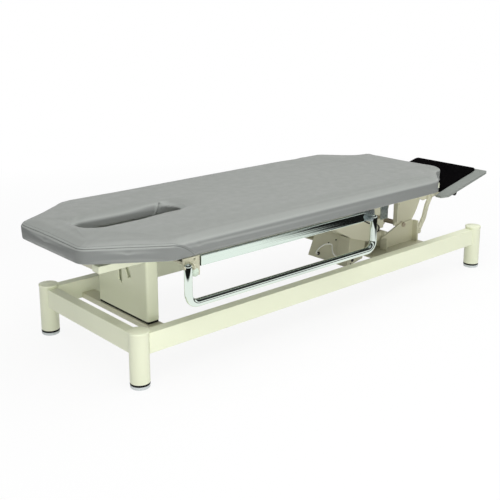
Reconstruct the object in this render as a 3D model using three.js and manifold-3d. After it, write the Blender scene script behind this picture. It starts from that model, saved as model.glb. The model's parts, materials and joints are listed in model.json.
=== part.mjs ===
// Electric treatment table: a tilting top on a low base, with a foot plate on parallel links.
// Millimetres, +Z up, +X to the foot end, -Y the side that faces the viewer.
import * as THREE from "three";
import { mergeVertices } from "three/addons/utils/BufferGeometryUtils.js";
import Module from "manifold-3d";

const wasm = await Module();
wasm.setup();

// General
const GAP = 0.3; // between pieces that touch
const OVERRUN = 5; // how far a cutter runs past what it cuts
const WELD = 0.0005; // vertices closer than this are one
const ROUND = 24; // sides of a round piece
const SMALL_ROUND = 14; // sides of a pin or a hole
const CORNER_STEPS = 4; // steps of a rounded corner

// Base: legs, rails, cross members
const LEG_SPAN_X = 1663.8;
const LEG_SPAN_Y = 531.6;
const LEG_DIAMETER = 60.5;
const LEG_WALL = 2.8;
const LEG_TOP = 175;
const LEG_CAP_DIAMETER = 63.5;
const LEG_CAP_HEIGHT = 5;
const LEG_CAP_THICKNESS = 3;
const FOOT_DIAMETER = 60;
const FOOT_HEIGHT = 10;
const FOOT_EDGE = 2;
const FOOT_STUD_DIAMETER = 16;
const FOOT_STUD_LENGTH = 42;
const RING_HEIGHT = 6;
const PLUG_SPIGOT = 16;
const STUD_CLEARANCE = 0.4;
const RAIL_WIDTH = 34.8;
const RAIL_HEIGHT = 64;
const RAIL_BOTTOM = 101;
const RAIL_WALL = 2.3;
const BEAM_WIDTH = 49;
const BEAM_HEIGHT = 19;
const BEAM_WALL = 2.3;
const PLATE_THICKNESS = 9;
const PLATE_HEAD_REACH = 231; // from the tilt axis towards the head
const PLATE_FOOT_REACH = 83; // from the tilt axis towards the foot
const LUG_SLOT_REACH = 15; // how far past the tilt axis the relief slots start

// Pedestal
const PEDESTAL_SETBACK = 140.4; // from the head legs' axis
const PEDESTAL_THICKNESS = 45;
const PEDESTAL_WIDTH = 284;
const PEDESTAL_CORNER = 9;
const PEDESTAL_WALL = 4;
const PEDESTAL_TOP = 333;
const PAD_HEIGHT = 8;
const PAD_INSET = 3;
const REST_HEIGHT = 11;
const REST_DIAMETER = 30;
const REST_SPACING = 210;
const SLOT_WIDTH = 19;
const SLOT_Y = 7; // centre of the upright slot
const SLOT_BOTTOM = 229;
const SLOT_TOP = 306;
const LEANING_SLOT_TOP_Y = -18;
const LEANING_SLOT_FOOT_Y = -46;
const LEANING_SLOT_FOOT = 247;

// Tilt axis, links, foot-plate axis
const PIVOT_SETBACK = 243.9; // from the foot legs' axis
const PIVOT_Z = 189;
const SHAFT_DIAMETER = 20;
const SHAFT_STICKOUT = 7;
const HOLE_CLEARANCE = 0.3;
const LINK_FOOT_X = 91; // lower link pivot from the tilt axis
const LINK_FOOT_DROP = 43;
const HINGE_X = 79; // foot-plate hinge from the tilt axis
const HINGE_RISE = 143;
const LINK_WIDTH = 22;
const LINK_THICKNESS = 8;
const LINK_BEND_SHARES = [[0, 0], [0.46, 0.36], [0.67, 0.71], [1, 1]];
const LINK_PLAY = 1;
const STUD_DIAMETER = 12;
const STUD_HEAD_DIAMETER = 18;
const STUD_HEAD_HEIGHT = 6;

// Pivot brackets
const BRACKET_Y = 86; // inner face
const BRACKET_THICKNESS = 8;
const BRACKET_DEPTH = 32; // folded flanges, from the inner face outwards
const BRACKET_HEAD_REACH = 131;
const BRACKET_FOOT_REACH = 71;
const BRACKET_HEAD_HEIGHT = 45; // above the cross plate
const BRACKET_FLAT_REACH = 14;
const BRACKET_NOTCH = 7;
const BRACKET_EASE = 12; // corner between the slope and the flat top
const BRACKET_BOSS_DIAMETER = 27;
const EAR_RADIUS = 15;
const WEB_SETBACK = 108; // towards the head, from the tilt axis
const WEB_THICKNESS = 8;
const WEB_HEIGHT = 68;
const CLEVIS_REACH = 40;
const CLEVIS_THICKNESS = 6;
const CLEVIS_HEIGHT = 36;
const CLEVIS_GAP = 30;

// Pivot lugs of the top
const LUG_THICKNESS = 8;
const LUG_PLAY = 2; // to the bracket
const LUG_HEAD_REACH = 43;
const LUG_FOOT_REACH = 118;
const LUG_HUB_RADIUS = 29;
const LUG_CURVE_TOP = 86; // above the tilt axis
const LUG_CURVE_FOOT_REACH = 55;
const LUG_CURVE_FOOT_DROP = 6;
const LUG_CURVE_BULGE = 7;
const LUG_FLANGE = 13;
const LUG_FLANGE_THICKNESS = 6;
const LUG_EAR_RADIUS = 27;
const LUG_HOLE_LENGTH = 18;
const LUG_HOLE_WIDTH = 11;

// Top frame and deck
const FRAME_BOTTOM = 345;
const FRAME_HEIGHT = 22;
const FRAME_WALL = 2;
const FRAME_RAIL_WIDTH = 36;
const FRAME_HALF_WIDTH = 193;
const FRAME_HEAD_INSET = 57; // from the cushion's head end
const FRAME_FOOT_REACH = 98;
const HEAD_MEMBER_WIDTH = 36;
const HEAD_MEMBER_SETBACK = 3;
const HEAD_MEMBER_RISE = 3;
const REST_STRIP_WIDTH = 64;
const REST_STRIP_THICKNESS = 8;
const FOOT_MEMBER_WIDTH = 76;
const FOOT_MEMBER_SETBACK = 28; // head-side edge, towards the head from the tilt axis
const DECK_THICKNESS = 12;
const DECK_INSET = 46;
const DECK_SLOT_MARGIN = 5;
const DECK_FOOT_INSET = 12;

// Cushion
const CUSHION_HEIGHT = 60;
const CUSHION_CROWN = 6;
const CUSHION_CROWN_RUN = 150;
const CUSHION_ROUND = 17;
const CUSHION_DRAW = 5; // how far the sides are drawn in at the bottom
const CUSHION_SEAM_SHARE = 0.66;
const CUSHION_SEAM_DEPTH = 1.6;
const CUSHION_SEAM_WIDTH = 5;
const CUSHION_HEAD_REACH = 1556; // from the tilt axis
const CUSHION_HEAD_HALF = 180;
const CUSHION_HALF = 328;
const CUSHION_HEAD_SHOULDER = 222; // length of the head chamfer along X
const CUSHION_FOOT_SHOULDER = 82; // where the foot chamfer starts, towards the head
const CUSHION_NECK_REACH = 50; // where the foot chamfer ends, past the tilt axis
const CUSHION_NECK_HALF = 212;
const CUSHION_END_HALF = 206;
const CUSHION_FOOT_REACH = 113; // the foot end, past the tilt axis
const CUSHION_CORNERS = [48, 60, 80, 70, 44]; // corner radii, head to foot
const CUSHION_SIDE_POINTS = 44;
const BREATHING_LENGTH = 388;
const BREATHING_HALF = 38;
const BREATHING_SETBACK = 104; // from the head end
const TOP_RING_SHARES = [0.13, 0.38, 0.75, 1];

// Side rails and grab bars
const SIDE_RAIL_HEIGHT = 33;
const SIDE_RAIL_THICKNESS = 12;
const SIDE_RAIL_FACE = 328; // outer face from the centre line
const SIDE_RAIL_HEAD_REACH = 1236; // from the tilt axis
const SIDE_RAIL_FOOT_REACH = 516;
const SIDE_RAIL_EDGE = 3;
const SIDE_RAIL_WALL = 2;
const MOUNT_THICKNESS = 6;
const MOUNT_LENGTH = 60;
const MOUNT_ARM_LENGTH = 36;
const MOUNT_ARM_THICKNESS = 8;
const MOUNT_ARM_RISE = 8; // above the frame's underside
const MOUNT_TAB_DROP = 27;
const MOUNT_TAB_LENGTH = 40;
const MOUNT_HOLE_DIAMETER = 8;
const BAR_DIAMETER = 25;
const BAR_WALL = 2;
const BAR_BEND = 33;
const BAR_DROP = 114; // pivot to the centre of the lower run
const BAR_PIVOT_RISE = 10; // above the frame's underside
const BAR_SPAN = 814;
const BAR_HEAD_INSET = 55; // pivot from the end of the side rail
const BAR_PLAY = 2.5;
const BAR_PIN_DIAMETER = 10;
const BAR_EAR_THICKNESS = 6;
const BAR_EAR_HEIGHT = 21;
const KNOB_DIAMETER = 26;
const KNOB_LENGTH = 17;
const KNOB_SHANK_DIAMETER = 8;
const KNOB_INSET = 25; // from the mount's end
const KNOB_DROP = 12; // below the frame's underside
const KNOB_ROOT_SHARE = 0.8;
const KNOB_DOME_SHARE = 0.7;
const KNOB_DOME_LENGTH_SHARE = 0.9;

// Drive
const DRIVE_PIVOT_SETBACK = 468; // from the tilt axis
const DRIVE_PIVOT_DROP = 30; // below the frame
const ROD_EYE_SETBACK = 140;
const ROD_EYE_DROP = 31; // below the tilt axis
const DRIVE_Y = -50; // plane of the actuator
const GEAR_HEAD_REACH = 24;
const GEAR_PAST_CORNER = 11.6; // along the actuator, past the housing's top corner
const GEAR_PAST_TOP = 12.3; // across the actuator, past the same corner
const GEAR_RISE = 24;
const GEAR_WIDTH = 70;
const TUBE_DIAMETER = 36;
const TUBE_START = 92;
const TUBE_END = 304;
const TUBE_NOSE = 14;
const ROD_DIAMETER = 20;
const ROD_PLAY = 0.5;
const ROD_LENGTH = 210;
const EYE_RADIUS = 14;
const EYE_WIDTH = 24;
const EYE_BORE = 12;
const TRUNNION_DIAMETER = 16;
const HOUSING_X = 118; // lower head-side corner, along X from the drive pivot
const HOUSING_LENGTH = 108;
const HOUSING_TOP_DROP = 116; // top corner below the drive pivot
const HOUSING_HEIGHT = 115;
const HOUSING_FAR = 104;
const HOUSING_NEAR = 104;
const HOUSING_SPLIT_Y = -45;
const HOUSING_SHARES = [[0, 0.02], [0.47, 1], [0.98, 0.82], [0.86, 0.15]];
const MOTOR_SHARES = [[0, 0], [0.15, 1], [1, 0.77], [0.84, 0.16]];
// across or along the face, up it, and 1 for the wide hole
const HOUSING_HOLE_SHARES = [[0.66, 0.14, 1], [0.43, 0.56, 0], [0.22, 0.72, 0]];
const MOTOR_HOLE_SHARES = [[0.3, 0.2, 1], [0.2, 0.08, 0]];
const SCREW_HOLE = 7;
const SCREW_DEPTH = 5;
const GROMMET_DIAMETER = 15;

// Cradle for the drive
const CHEEK_Y = 107; // inner face
const CHEEK_THICKNESS = 5;
const CHEEK_HEAD_REACH = 506; // from the tilt axis
const CHEEK_FOOT_REACH = 148;
const CHEEK_DEPTH = 177;
const CHEEK_SHARES = [[0, 0.46], [0.165, 0.48], [0.48, 0.825], [0.755, 1], [0.86, 0.79], [1, 0.77]];
const CRADLE_TOP_THICKNESS = 6;
const CRADLE_RISE = 8; // underside of its top plate above the frame's underside
const RECESS_LENGTH = 34;
const RECESS_HEIGHT = 18;
const RECESS_SETBACK = 36;
const RECESS_DROP = 88;
const RIB_WIDTH = 22;
const RIB_THICKNESS = 3;
const RIB_SHARE = 0.33;
const RIB_HEIGHT = 92;
const CHEEK_HOLE_SHARE = 0.235;
const CHEEK_HOLE_DROP = 104;
const ANGLE_LENGTH = 44;
const ANGLE_HEIGHT = 52;
const ANGLE_THICKNESS = 3;
const ANGLE_FLANGE = 20;
const ANGLE_DROP = 50;
const ANGLE_HOLE = 7;

// Foot plate
const STEP_ANGLE = 12.8 * Math.PI / 180;
const STEP_OUTER_REACH = 427; // outer edge of the top face, from the tilt axis
const STEP_OUTER_Z = 369;
const STEP_THICKNESS = 9;
const STEP_NEAR = 200; // near side of the foot plate, with its border
const STEP_FAR = 174;
const STEP_STRAIGHT = 225;
const STEP_BEND = 26;
const STEP_TURN = Math.PI / 3;
const STEP_CORNER = 14;
const STEP_BORDER_LENGTH = 302;
const MAT_THICKNESS = 4.5;
const MAT_NEAR = 150;
const MAT_CORNER = 34;
const MAT_FAR_CORNER = 20;
const ARM_HUB_RADIUS = 14;
const ARM_HOOK_DEPTH = 36;
const ARM_HOOK_CLEARANCE = 9;
const ARM_END_REACH = 212; // from the hinge, along X
const ARM_DEPTH = 20; // below the foot plate at its end
const CROSS_TUBE_DIAMETER = 24;
const CROSS_TUBE_REACH = 190; // from the hinge
const CROSS_TUBE_DROP = 34; // below the foot plate's underside
const CROSS_TUBE_HALF = 140;
const CROSS_TUBE_WALL = 2;
const END_CAP_LENGTH = 12;
const END_CAP_SPIGOT = 10;
const CAP_FIT_SHARE = 0.97;

// Leads
const LEAD_DIAMETER = 5;
const LEAD_SIDES = 8;

// Places that follow from the sizes
const LEG_X = LEG_SPAN_X / 2;
const LEG_Y = LEG_SPAN_Y / 2;
const RAIL_TOP = RAIL_BOTTOM + RAIL_HEIGHT;
const RAIL_INNER_Y = LEG_Y - RAIL_WIDTH / 2;
const RING_BOTTOM = FOOT_HEIGHT + GAP;
const RING_TOP = RING_BOTTOM + RING_HEIGHT;
const LEG_BOTTOM = RING_TOP + GAP;
const BEAM_TOP = RAIL_BOTTOM + BEAM_HEIGHT;
const PLATE_TOP = RAIL_BOTTOM + PLATE_THICKNESS;
const PEDESTAL_X = -LEG_X + PEDESTAL_SETBACK;
const PEDESTAL_BOTTOM = BEAM_TOP + PAD_HEIGHT + 2 * GAP;
const PIVOT_X = LEG_X - PIVOT_SETBACK;
const HINGE = [PIVOT_X + HINGE_X, PIVOT_Z + HINGE_RISE];
const LINK_FOOT = [PIVOT_X + LINK_FOOT_X, PIVOT_Z - LINK_FOOT_DROP];
const LINK_HEAD = [HINGE[0] + LINK_FOOT_X, HINGE[1] - LINK_FOOT_DROP];
const FRAME_TOP = FRAME_BOTTOM + FRAME_HEIGHT;
const FRAME_INNER_Y = FRAME_HALF_WIDTH - FRAME_RAIL_WIDTH;
const DECK_BOTTOM = FRAME_TOP + GAP;
const DECK_TOP = DECK_BOTTOM + DECK_THICKNESS;
const CUSHION_BOTTOM = DECK_TOP + GAP;
const CUSHION_TOP = CUSHION_BOTTOM + CUSHION_HEIGHT;
const LUG_Y = BRACKET_Y - LUG_PLAY - LUG_THICKNESS;
const ARM_Y = BRACKET_Y;
const LINK_Y = ARM_Y + BRACKET_THICKNESS + 3 * LINK_PLAY;
const DRIVE_PIVOT = [PIVOT_X - DRIVE_PIVOT_SETBACK, FRAME_BOTTOM - DRIVE_PIVOT_DROP];
const ROD_EYE = [PIVOT_X - ROD_EYE_SETBACK, PIVOT_Z - ROD_EYE_DROP];
const ACTUATOR_LENGTH = Math.hypot(ROD_EYE[0] - DRIVE_PIVOT[0], ROD_EYE[1] - DRIVE_PIVOT[1]);
const ACTUATOR_ANGLE = Math.atan2(ROD_EYE[1] - DRIVE_PIVOT[1], ROD_EYE[0] - DRIVE_PIVOT[0]);
const HOUSING_CORNER_X = HOUSING_X + HOUSING_SHARES[1][0] * HOUSING_LENGTH;
const GEAR_FOOT_REACH = GEAR_PAST_CORNER
  + HOUSING_CORNER_X * Math.cos(ACTUATOR_ANGLE) - HOUSING_TOP_DROP * Math.sin(ACTUATOR_ANGLE);
const GEAR_DEPTH = GEAR_PAST_TOP
  + HOUSING_CORNER_X * Math.sin(ACTUATOR_ANGLE) + HOUSING_TOP_DROP * Math.cos(ACTUATOR_ANGLE);
const CUSHION_HEAD_X = PIVOT_X - CUSHION_HEAD_REACH;
const STEP_OUTER_X = PIVOT_X + STEP_OUTER_REACH;
const ORIGIN_X = (CUSHION_HEAD_X + STEP_OUTER_X + STEP_THICKNESS * Math.sin(STEP_ANGLE)) / 2;

// Materials
const paint = (color, roughness = 0.42, metalness = 0.1) =>
  new THREE.MeshStandardMaterial({ color, roughness, metalness });
const BEIGE = () => paint(0xd9dcc2);
const BEIGE_SHADE = () => paint(0xc4c3a8);
const CHROME = () => paint(0xd7e5da, 0.12, 1);
const ZINC = () => paint(0xa9b6b8, 0.35, 0.8);
const BLACK = () => paint(0x151515, 0.8, 0);
const GREY_PLASTIC = () => paint(0x969b96, 0.55, 0);
const STEEL = () => paint(0x9aa0a0, 0.3, 0.9);

// Solids
function clean(geometry) {
  const bare = geometry.clone();
  bare.deleteAttribute("normal");
  bare.deleteAttribute("uv");
  const merged = mergeVertices(bare, WELD);
  const places = merged.getAttribute("position").array;
  const corners = merged.index.array;
  const kept = [];
  let volume = 0;
  for (let i = 0; i < corners.length; i += 3) {
    const [a, b, c] = [corners[i], corners[i + 1], corners[i + 2]];
    if (a === b || b === c || c === a) continue;
    kept.push([a, b, c]);
    const p = new THREE.Vector3().fromArray(places, 3 * a);
    const q = new THREE.Vector3().fromArray(places, 3 * b);
    const r = new THREE.Vector3().fromArray(places, 3 * c);
    volume += p.dot(q.cross(r));
  }
  const turned = volume < 0 ? kept.map(([a, b, c]) => [a, c, b]) : kept;
  return { places: Float32Array.from(places), corners: Uint32Array.from(turned.flat()) };
}

function solid(geometry) {
  const { places, corners } = clean(geometry);
  return new wasm.Manifold(new wasm.Mesh({ numProp: 3, vertProperties: places, triVerts: corners }));
}

function join(...solids) {
  return solids.reduce((sum, one) => sum.add(one));
}

function cut(body, ...tools) {
  return tools.reduce((rest, tool) => rest.subtract(tool), body);
}

function piece(name, body, material) {
  const mesh = body.getMesh();
  const geometry = new THREE.BufferGeometry();
  geometry.setAttribute("position", new THREE.BufferAttribute(mesh.vertProperties, 3));
  geometry.setIndex(new THREE.BufferAttribute(mesh.triVerts, 1));
  const faceted = geometry.toNonIndexed();
  faceted.computeVertexNormals();
  const made = new THREE.Mesh(faceted, material);
  made.name = name;
  return made;
}

function block(x0, x1, y0, y1, z0, z1) {
  const box = new THREE.BoxGeometry(x1 - x0, y1 - y0, z1 - z0);
  return solid(box.translate((x0 + x1) / 2, (y0 + y1) / 2, (z0 + z1) / 2));
}

const outline = (points) => new THREE.Shape(points.map(([a, b]) => new THREE.Vector2(a, b)));

function sheetXZ(points, y0, y1) {
  const shape = new THREE.ExtrudeGeometry(outline(points), { depth: y1 - y0, bevelEnabled: false });
  return solid(shape.rotateX(Math.PI / 2).translate(0, y1, 0));
}

function sheetXY(points, z0, z1) {
  const shape = new THREE.ExtrudeGeometry(outline(points), { depth: z1 - z0, bevelEnabled: false });
  return solid(shape.translate(0, 0, z0));
}

function sheetYZ(points, x0, x1) {
  const shape = new THREE.ExtrudeGeometry(outline(points), { depth: x1 - x0, bevelEnabled: false });
  const turn = new THREE.Matrix4().set(0, 0, 1, x0, 1, 0, 0, 0, 0, 1, 0, 0, 0, 0, 0, 1);
  return solid(shape.applyMatrix4(turn));
}

function rodX(radius, x0, x1, y, z, sides = SMALL_ROUND) {
  const round = new THREE.CylinderGeometry(radius, radius, x1 - x0, sides);
  return solid(round.rotateZ(-Math.PI / 2).translate((x0 + x1) / 2, y, z));
}

function rodY(radius, y0, y1, x, z, sides = SMALL_ROUND) {
  const round = new THREE.CylinderGeometry(radius, radius, y1 - y0, sides);
  return solid(round.translate(x, (y0 + y1) / 2, z));
}

function rodZ(radius, z0, z1, x, y, sides = ROUND) {
  const round = new THREE.CylinderGeometry(radius, radius, z1 - z0, sides);
  return solid(round.rotateX(Math.PI / 2).translate(x, y, (z0 + z1) / 2));
}

function turned(profile, x, y, sides = ROUND) {
  const points = profile.map(([r, z]) => new THREE.Vector2(r, z));
  return solid(new THREE.LatheGeometry(points, sides).rotateX(Math.PI / 2).translate(x, y, 0));
}

// A closed outline whose corners are rounded to the given radii
function rounded(points, radii, steps = CORNER_STEPS) {
  const out = [];
  points.forEach(([x, y], i) => {
    const radius = Array.isArray(radii) ? radii[i] : radii;
    const [px, py] = points[(i + points.length - 1) % points.length];
    const [nx, ny] = points[(i + 1) % points.length];
    const before = new THREE.Vector2(px - x, py - y);
    const after = new THREE.Vector2(nx - x, ny - y);
    const reach = Math.min(before.length(), after.length()) / 2;
    before.normalize();
    after.normalize();
    const half = Math.acos(THREE.MathUtils.clamp(before.dot(after), -1, 1)) / 2;
    const run = radius > 0 ? Math.min(radius / Math.tan(half), reach) : 0;
    if (run === 0) {
      out.push([x, y]);
      return;
    }
    const fit = run * Math.tan(half);
    const bisector = before.clone().add(after).normalize();
    const centre = new THREE.Vector2(x, y).addScaledVector(bisector, fit / Math.sin(half));
    const start = new THREE.Vector2(x, y).addScaledVector(before, run).sub(centre);
    const end = new THREE.Vector2(x, y).addScaledVector(after, run).sub(centre);
    const turn = Math.atan2(start.cross(end), start.dot(end));
    for (let k = 0; k <= steps; k += 1) {
      const spoke = start.clone().rotateAround(new THREE.Vector2(), (turn * k) / steps);
      out.push([centre.x + spoke.x, centre.y + spoke.y]);
    }
  });
  return out;
}

function arc(x, y, radius, from, to, steps) {
  const points = [];
  for (let k = 0; k <= steps; k += 1) {
    const angle = from + ((to - from) * k) / steps;
    points.push([x + radius * Math.cos(angle), y + radius * Math.sin(angle)]);
  }
  return points;
}

function stadium(x, y, length, width, steps = CORNER_STEPS + CORNER_STEPS) {
  const radius = width / 2;
  const run = length / 2 - radius;
  return [
    ...arc(x + run, y, radius, -Math.PI / 2, Math.PI / 2, steps),
    ...arc(x - run, y, radius, Math.PI / 2, (3 * Math.PI) / 2, steps),
  ];
}

// Mirror a solid across the plane y = 0
const mirrored = (body) => body.mirror([0, 1, 0]);

// A path through given points, one ring of the swept section at each
class Route extends THREE.Curve {
  constructor(knots, ends) {
    super();
    this.knots = knots;
    this.ends = ends;
  }
  getUtoTmapping(u) {
    return u;
  }
  getPoint(t) {
    const place = THREE.MathUtils.clamp(t, 0, 1) * (this.knots.length - 1);
    const from = Math.min(Math.floor(place), this.knots.length - 2);
    return this.knots[from].clone().lerp(this.knots[from + 1], place - from);
  }
  getTangent(t) {
    const at = Math.round(t * (this.knots.length - 1));
    if (this.ends && at === 0) return this.ends[0].clone();
    if (this.ends && at === this.knots.length - 1) return this.ends[1].clone();
    const way = new THREE.Vector3();
    if (at > 0) way.add(this.knots[at].clone().sub(this.knots[at - 1]).normalize());
    if (at < this.knots.length - 1) way.add(this.knots[at + 1].clone().sub(this.knots[at]).normalize());
    return way.normalize();
  }
}

function swept(knots, radius, sides, ends = null) {
  const section = new THREE.Shape(
    Array.from({ length: sides }, (_, i) => {
      const angle = (2 * Math.PI * i) / sides;
      return new THREE.Vector2(radius * Math.cos(angle), radius * Math.sin(angle));
    }),
  );
  const path = new Route(knots, ends);
  return solid(new THREE.ExtrudeGeometry(section, { steps: knots.length - 1, extrudePath: path }));
}

// Base
function leg(name, x, y) {
  const radius = LEG_DIAMETER / 2;
  const bore = radius - LEG_WALL;
  const cap = LEG_CAP_DIAMETER / 2;
  const under = LEG_TOP - LEG_CAP_THICKNESS;
  const skirt = LEG_TOP - LEG_CAP_HEIGHT;
  const profile = [
    [0, LEG_TOP],
    [cap, LEG_TOP],
    [cap, skirt],
    [radius, skirt],
    [radius, LEG_BOTTOM],
    [bore, LEG_BOTTOM],
    [bore, under],
    [0, under],
  ];
  return piece(name, turned(profile, x, y), BEIGE());
}

function legPlug(name, x, y) {
  const hole = FOOT_STUD_DIAMETER / 2 + STUD_CLEARANCE;
  const spigot = LEG_DIAMETER / 2 - LEG_WALL - GAP;
  const ring = LEG_DIAMETER / 2;
  const top = RING_TOP + PLUG_SPIGOT;
  const profile = [
    [hole, RING_BOTTOM],
    [ring, RING_BOTTOM],
    [ring, RING_TOP],
    [spigot, RING_TOP],
    [spigot, top],
    [hole, top],
    [hole, RING_BOTTOM],
  ];
  return piece(name, turned(profile, x, y), BLACK());
}

function foot(name, x, y) {
  const radius = FOOT_DIAMETER / 2;
  const stud = FOOT_STUD_DIAMETER / 2;
  const profile = [
    [0, 0],
    [radius - FOOT_EDGE, 0],
    [radius, FOOT_EDGE],
    [radius, FOOT_HEIGHT],
    [stud, FOOT_HEIGHT],
    [stud, FOOT_HEIGHT + FOOT_STUD_LENGTH],
    [0, FOOT_HEIGHT + FOOT_STUD_LENGTH],
  ];
  return piece(name, turned(profile, x, y), ZINC());
}

function legCutter(x, y) {
  return rodZ(LEG_DIAMETER / 2 + GAP, RAIL_BOTTOM - OVERRUN, RAIL_TOP + OVERRUN, x, y);
}

function sideRail(name, side) {
  const y = side * LEG_Y;
  const half = RAIL_WIDTH / 2;
  const bore = half - RAIL_WALL;
  const outer = block(-LEG_X, LEG_X, y - half, y + half, RAIL_BOTTOM, RAIL_TOP);
  const hollow = block(
    -LEG_X - OVERRUN, LEG_X + OVERRUN, y - bore, y + bore, RAIL_BOTTOM + RAIL_WALL, RAIL_TOP - RAIL_WALL);
  return piece(name, cut(outer, hollow, legCutter(-LEG_X, y), legCutter(LEG_X, y)), BEIGE());
}

function headRail(name) {
  const half = RAIL_WIDTH / 2;
  const bore = half - RAIL_WALL;
  const outer = block(-LEG_X - half, -LEG_X + half, -LEG_Y, LEG_Y, RAIL_BOTTOM, RAIL_TOP);
  const hollow = block(
    -LEG_X - bore, -LEG_X + bore, -LEG_Y - OVERRUN, LEG_Y + OVERRUN,
    RAIL_BOTTOM + RAIL_WALL, RAIL_TOP - RAIL_WALL);
  return piece(name, cut(outer, hollow, legCutter(-LEG_X, -LEG_Y), legCutter(-LEG_X, LEG_Y)), BEIGE());
}

function crossBeam(name) {
  const half = BEAM_WIDTH / 2;
  const end = RAIL_INNER_Y - GAP;
  const bore = half - BEAM_WALL;
  const outer = block(PEDESTAL_X - half, PEDESTAL_X + half, -end, end, RAIL_BOTTOM, BEAM_TOP);
  const hollow = block(
    PEDESTAL_X - bore, PEDESTAL_X + bore, -end - OVERRUN, end + OVERRUN,
    RAIL_BOTTOM + BEAM_WALL, BEAM_TOP - BEAM_WALL);
  return piece(name, cut(outer, hollow), BEIGE_SHADE());
}

function crossPlate(name) {
  const end = RAIL_INNER_Y - GAP;
  const foot = PIVOT_X + PLATE_FOOT_REACH;
  const plate = block(PIVOT_X - PLATE_HEAD_REACH, foot, -end, end, RAIL_BOTTOM, PLATE_TOP);
  const slots = [1, -1].map((side) => {
    const inner = side * (LUG_Y - LUG_PLAY);
    const outer = side * (BRACKET_Y - GAP);
    return block(
      PIVOT_X + LUG_SLOT_REACH, foot + OVERRUN, Math.min(inner, outer), Math.max(inner, outer),
      RAIL_BOTTOM - OVERRUN, PLATE_TOP + OVERRUN);
  });
  return piece(name, cut(plate, ...slots), BEIGE_SHADE());
}

// Pedestal: a closed upright with two slots in its head-side face
function pedestal(name) {
  const half = PEDESTAL_THICKNESS / 2;
  const wide = PEDESTAL_WIDTH / 2;
  const corners = [
    [PEDESTAL_X - half, -wide],
    [PEDESTAL_X + half, -wide],
    [PEDESTAL_X + half, wide],
    [PEDESTAL_X - half, wide],
  ];
  const inner = [
    [PEDESTAL_X - half + PEDESTAL_WALL, -wide + PEDESTAL_WALL],
    [PEDESTAL_X + half - PEDESTAL_WALL, -wide + PEDESTAL_WALL],
    [PEDESTAL_X + half - PEDESTAL_WALL, wide - PEDESTAL_WALL],
    [PEDESTAL_X - half + PEDESTAL_WALL, wide - PEDESTAL_WALL],
  ];
  const shell = sheetXY(rounded(corners, PEDESTAL_CORNER), PEDESTAL_BOTTOM, PEDESTAL_TOP);
  const hollow = sheetXY(
    rounded(inner, PEDESTAL_CORNER - PEDESTAL_WALL), PEDESTAL_BOTTOM - OVERRUN, PEDESTAL_TOP - PEDESTAL_WALL);
  const face = PEDESTAL_X - half;
  const slotHalf = SLOT_WIDTH / 2;
  const upright = [
    [SLOT_Y + slotHalf, SLOT_TOP],
    [SLOT_Y + slotHalf, SLOT_BOTTOM],
    [SLOT_Y - slotHalf, SLOT_BOTTOM - slotHalf],
    [SLOT_Y - slotHalf, SLOT_TOP],
  ];
  const slope = (LEANING_SLOT_FOOT_Y - LEANING_SLOT_TOP_Y) / (SLOT_BOTTOM + 2 * SLOT_WIDTH - SLOT_TOP);
  const topY = LEANING_SLOT_TOP_Y + slope * (SLOT_BOTTOM + SLOT_WIDTH - LEANING_SLOT_FOOT);
  const leaning = [
    [topY + slotHalf, SLOT_TOP],
    [LEANING_SLOT_FOOT_Y + slotHalf, LEANING_SLOT_FOOT],
    [LEANING_SLOT_FOOT_Y - slotHalf, LEANING_SLOT_FOOT + slotHalf],
    [topY - slotHalf, SLOT_TOP],
  ];
  const slots = [upright, leaning].map((shape) => sheetYZ(shape, face - OVERRUN, PEDESTAL_X));
  return piece(name, cut(shell, hollow, ...slots), BEIGE());
}

function pedestalPad(name) {
  const half = PEDESTAL_THICKNESS / 2 - PAD_INSET;
  const wide = PEDESTAL_WIDTH / 2 - PAD_INSET;
  const bottom = BEAM_TOP + GAP;
  return piece(
    name, block(PEDESTAL_X - half, PEDESTAL_X + half, -wide, wide, bottom, bottom + PAD_HEIGHT), BLACK());
}

function pedestalRest(name, side) {
  const radius = REST_DIAMETER / 2;
  const bottom = PEDESTAL_TOP + GAP;
  const y = (side * REST_SPACING) / 2;
  return piece(name, rodZ(radius, bottom, FRAME_BOTTOM - GAP, PEDESTAL_X, y), BLACK());
}

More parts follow.
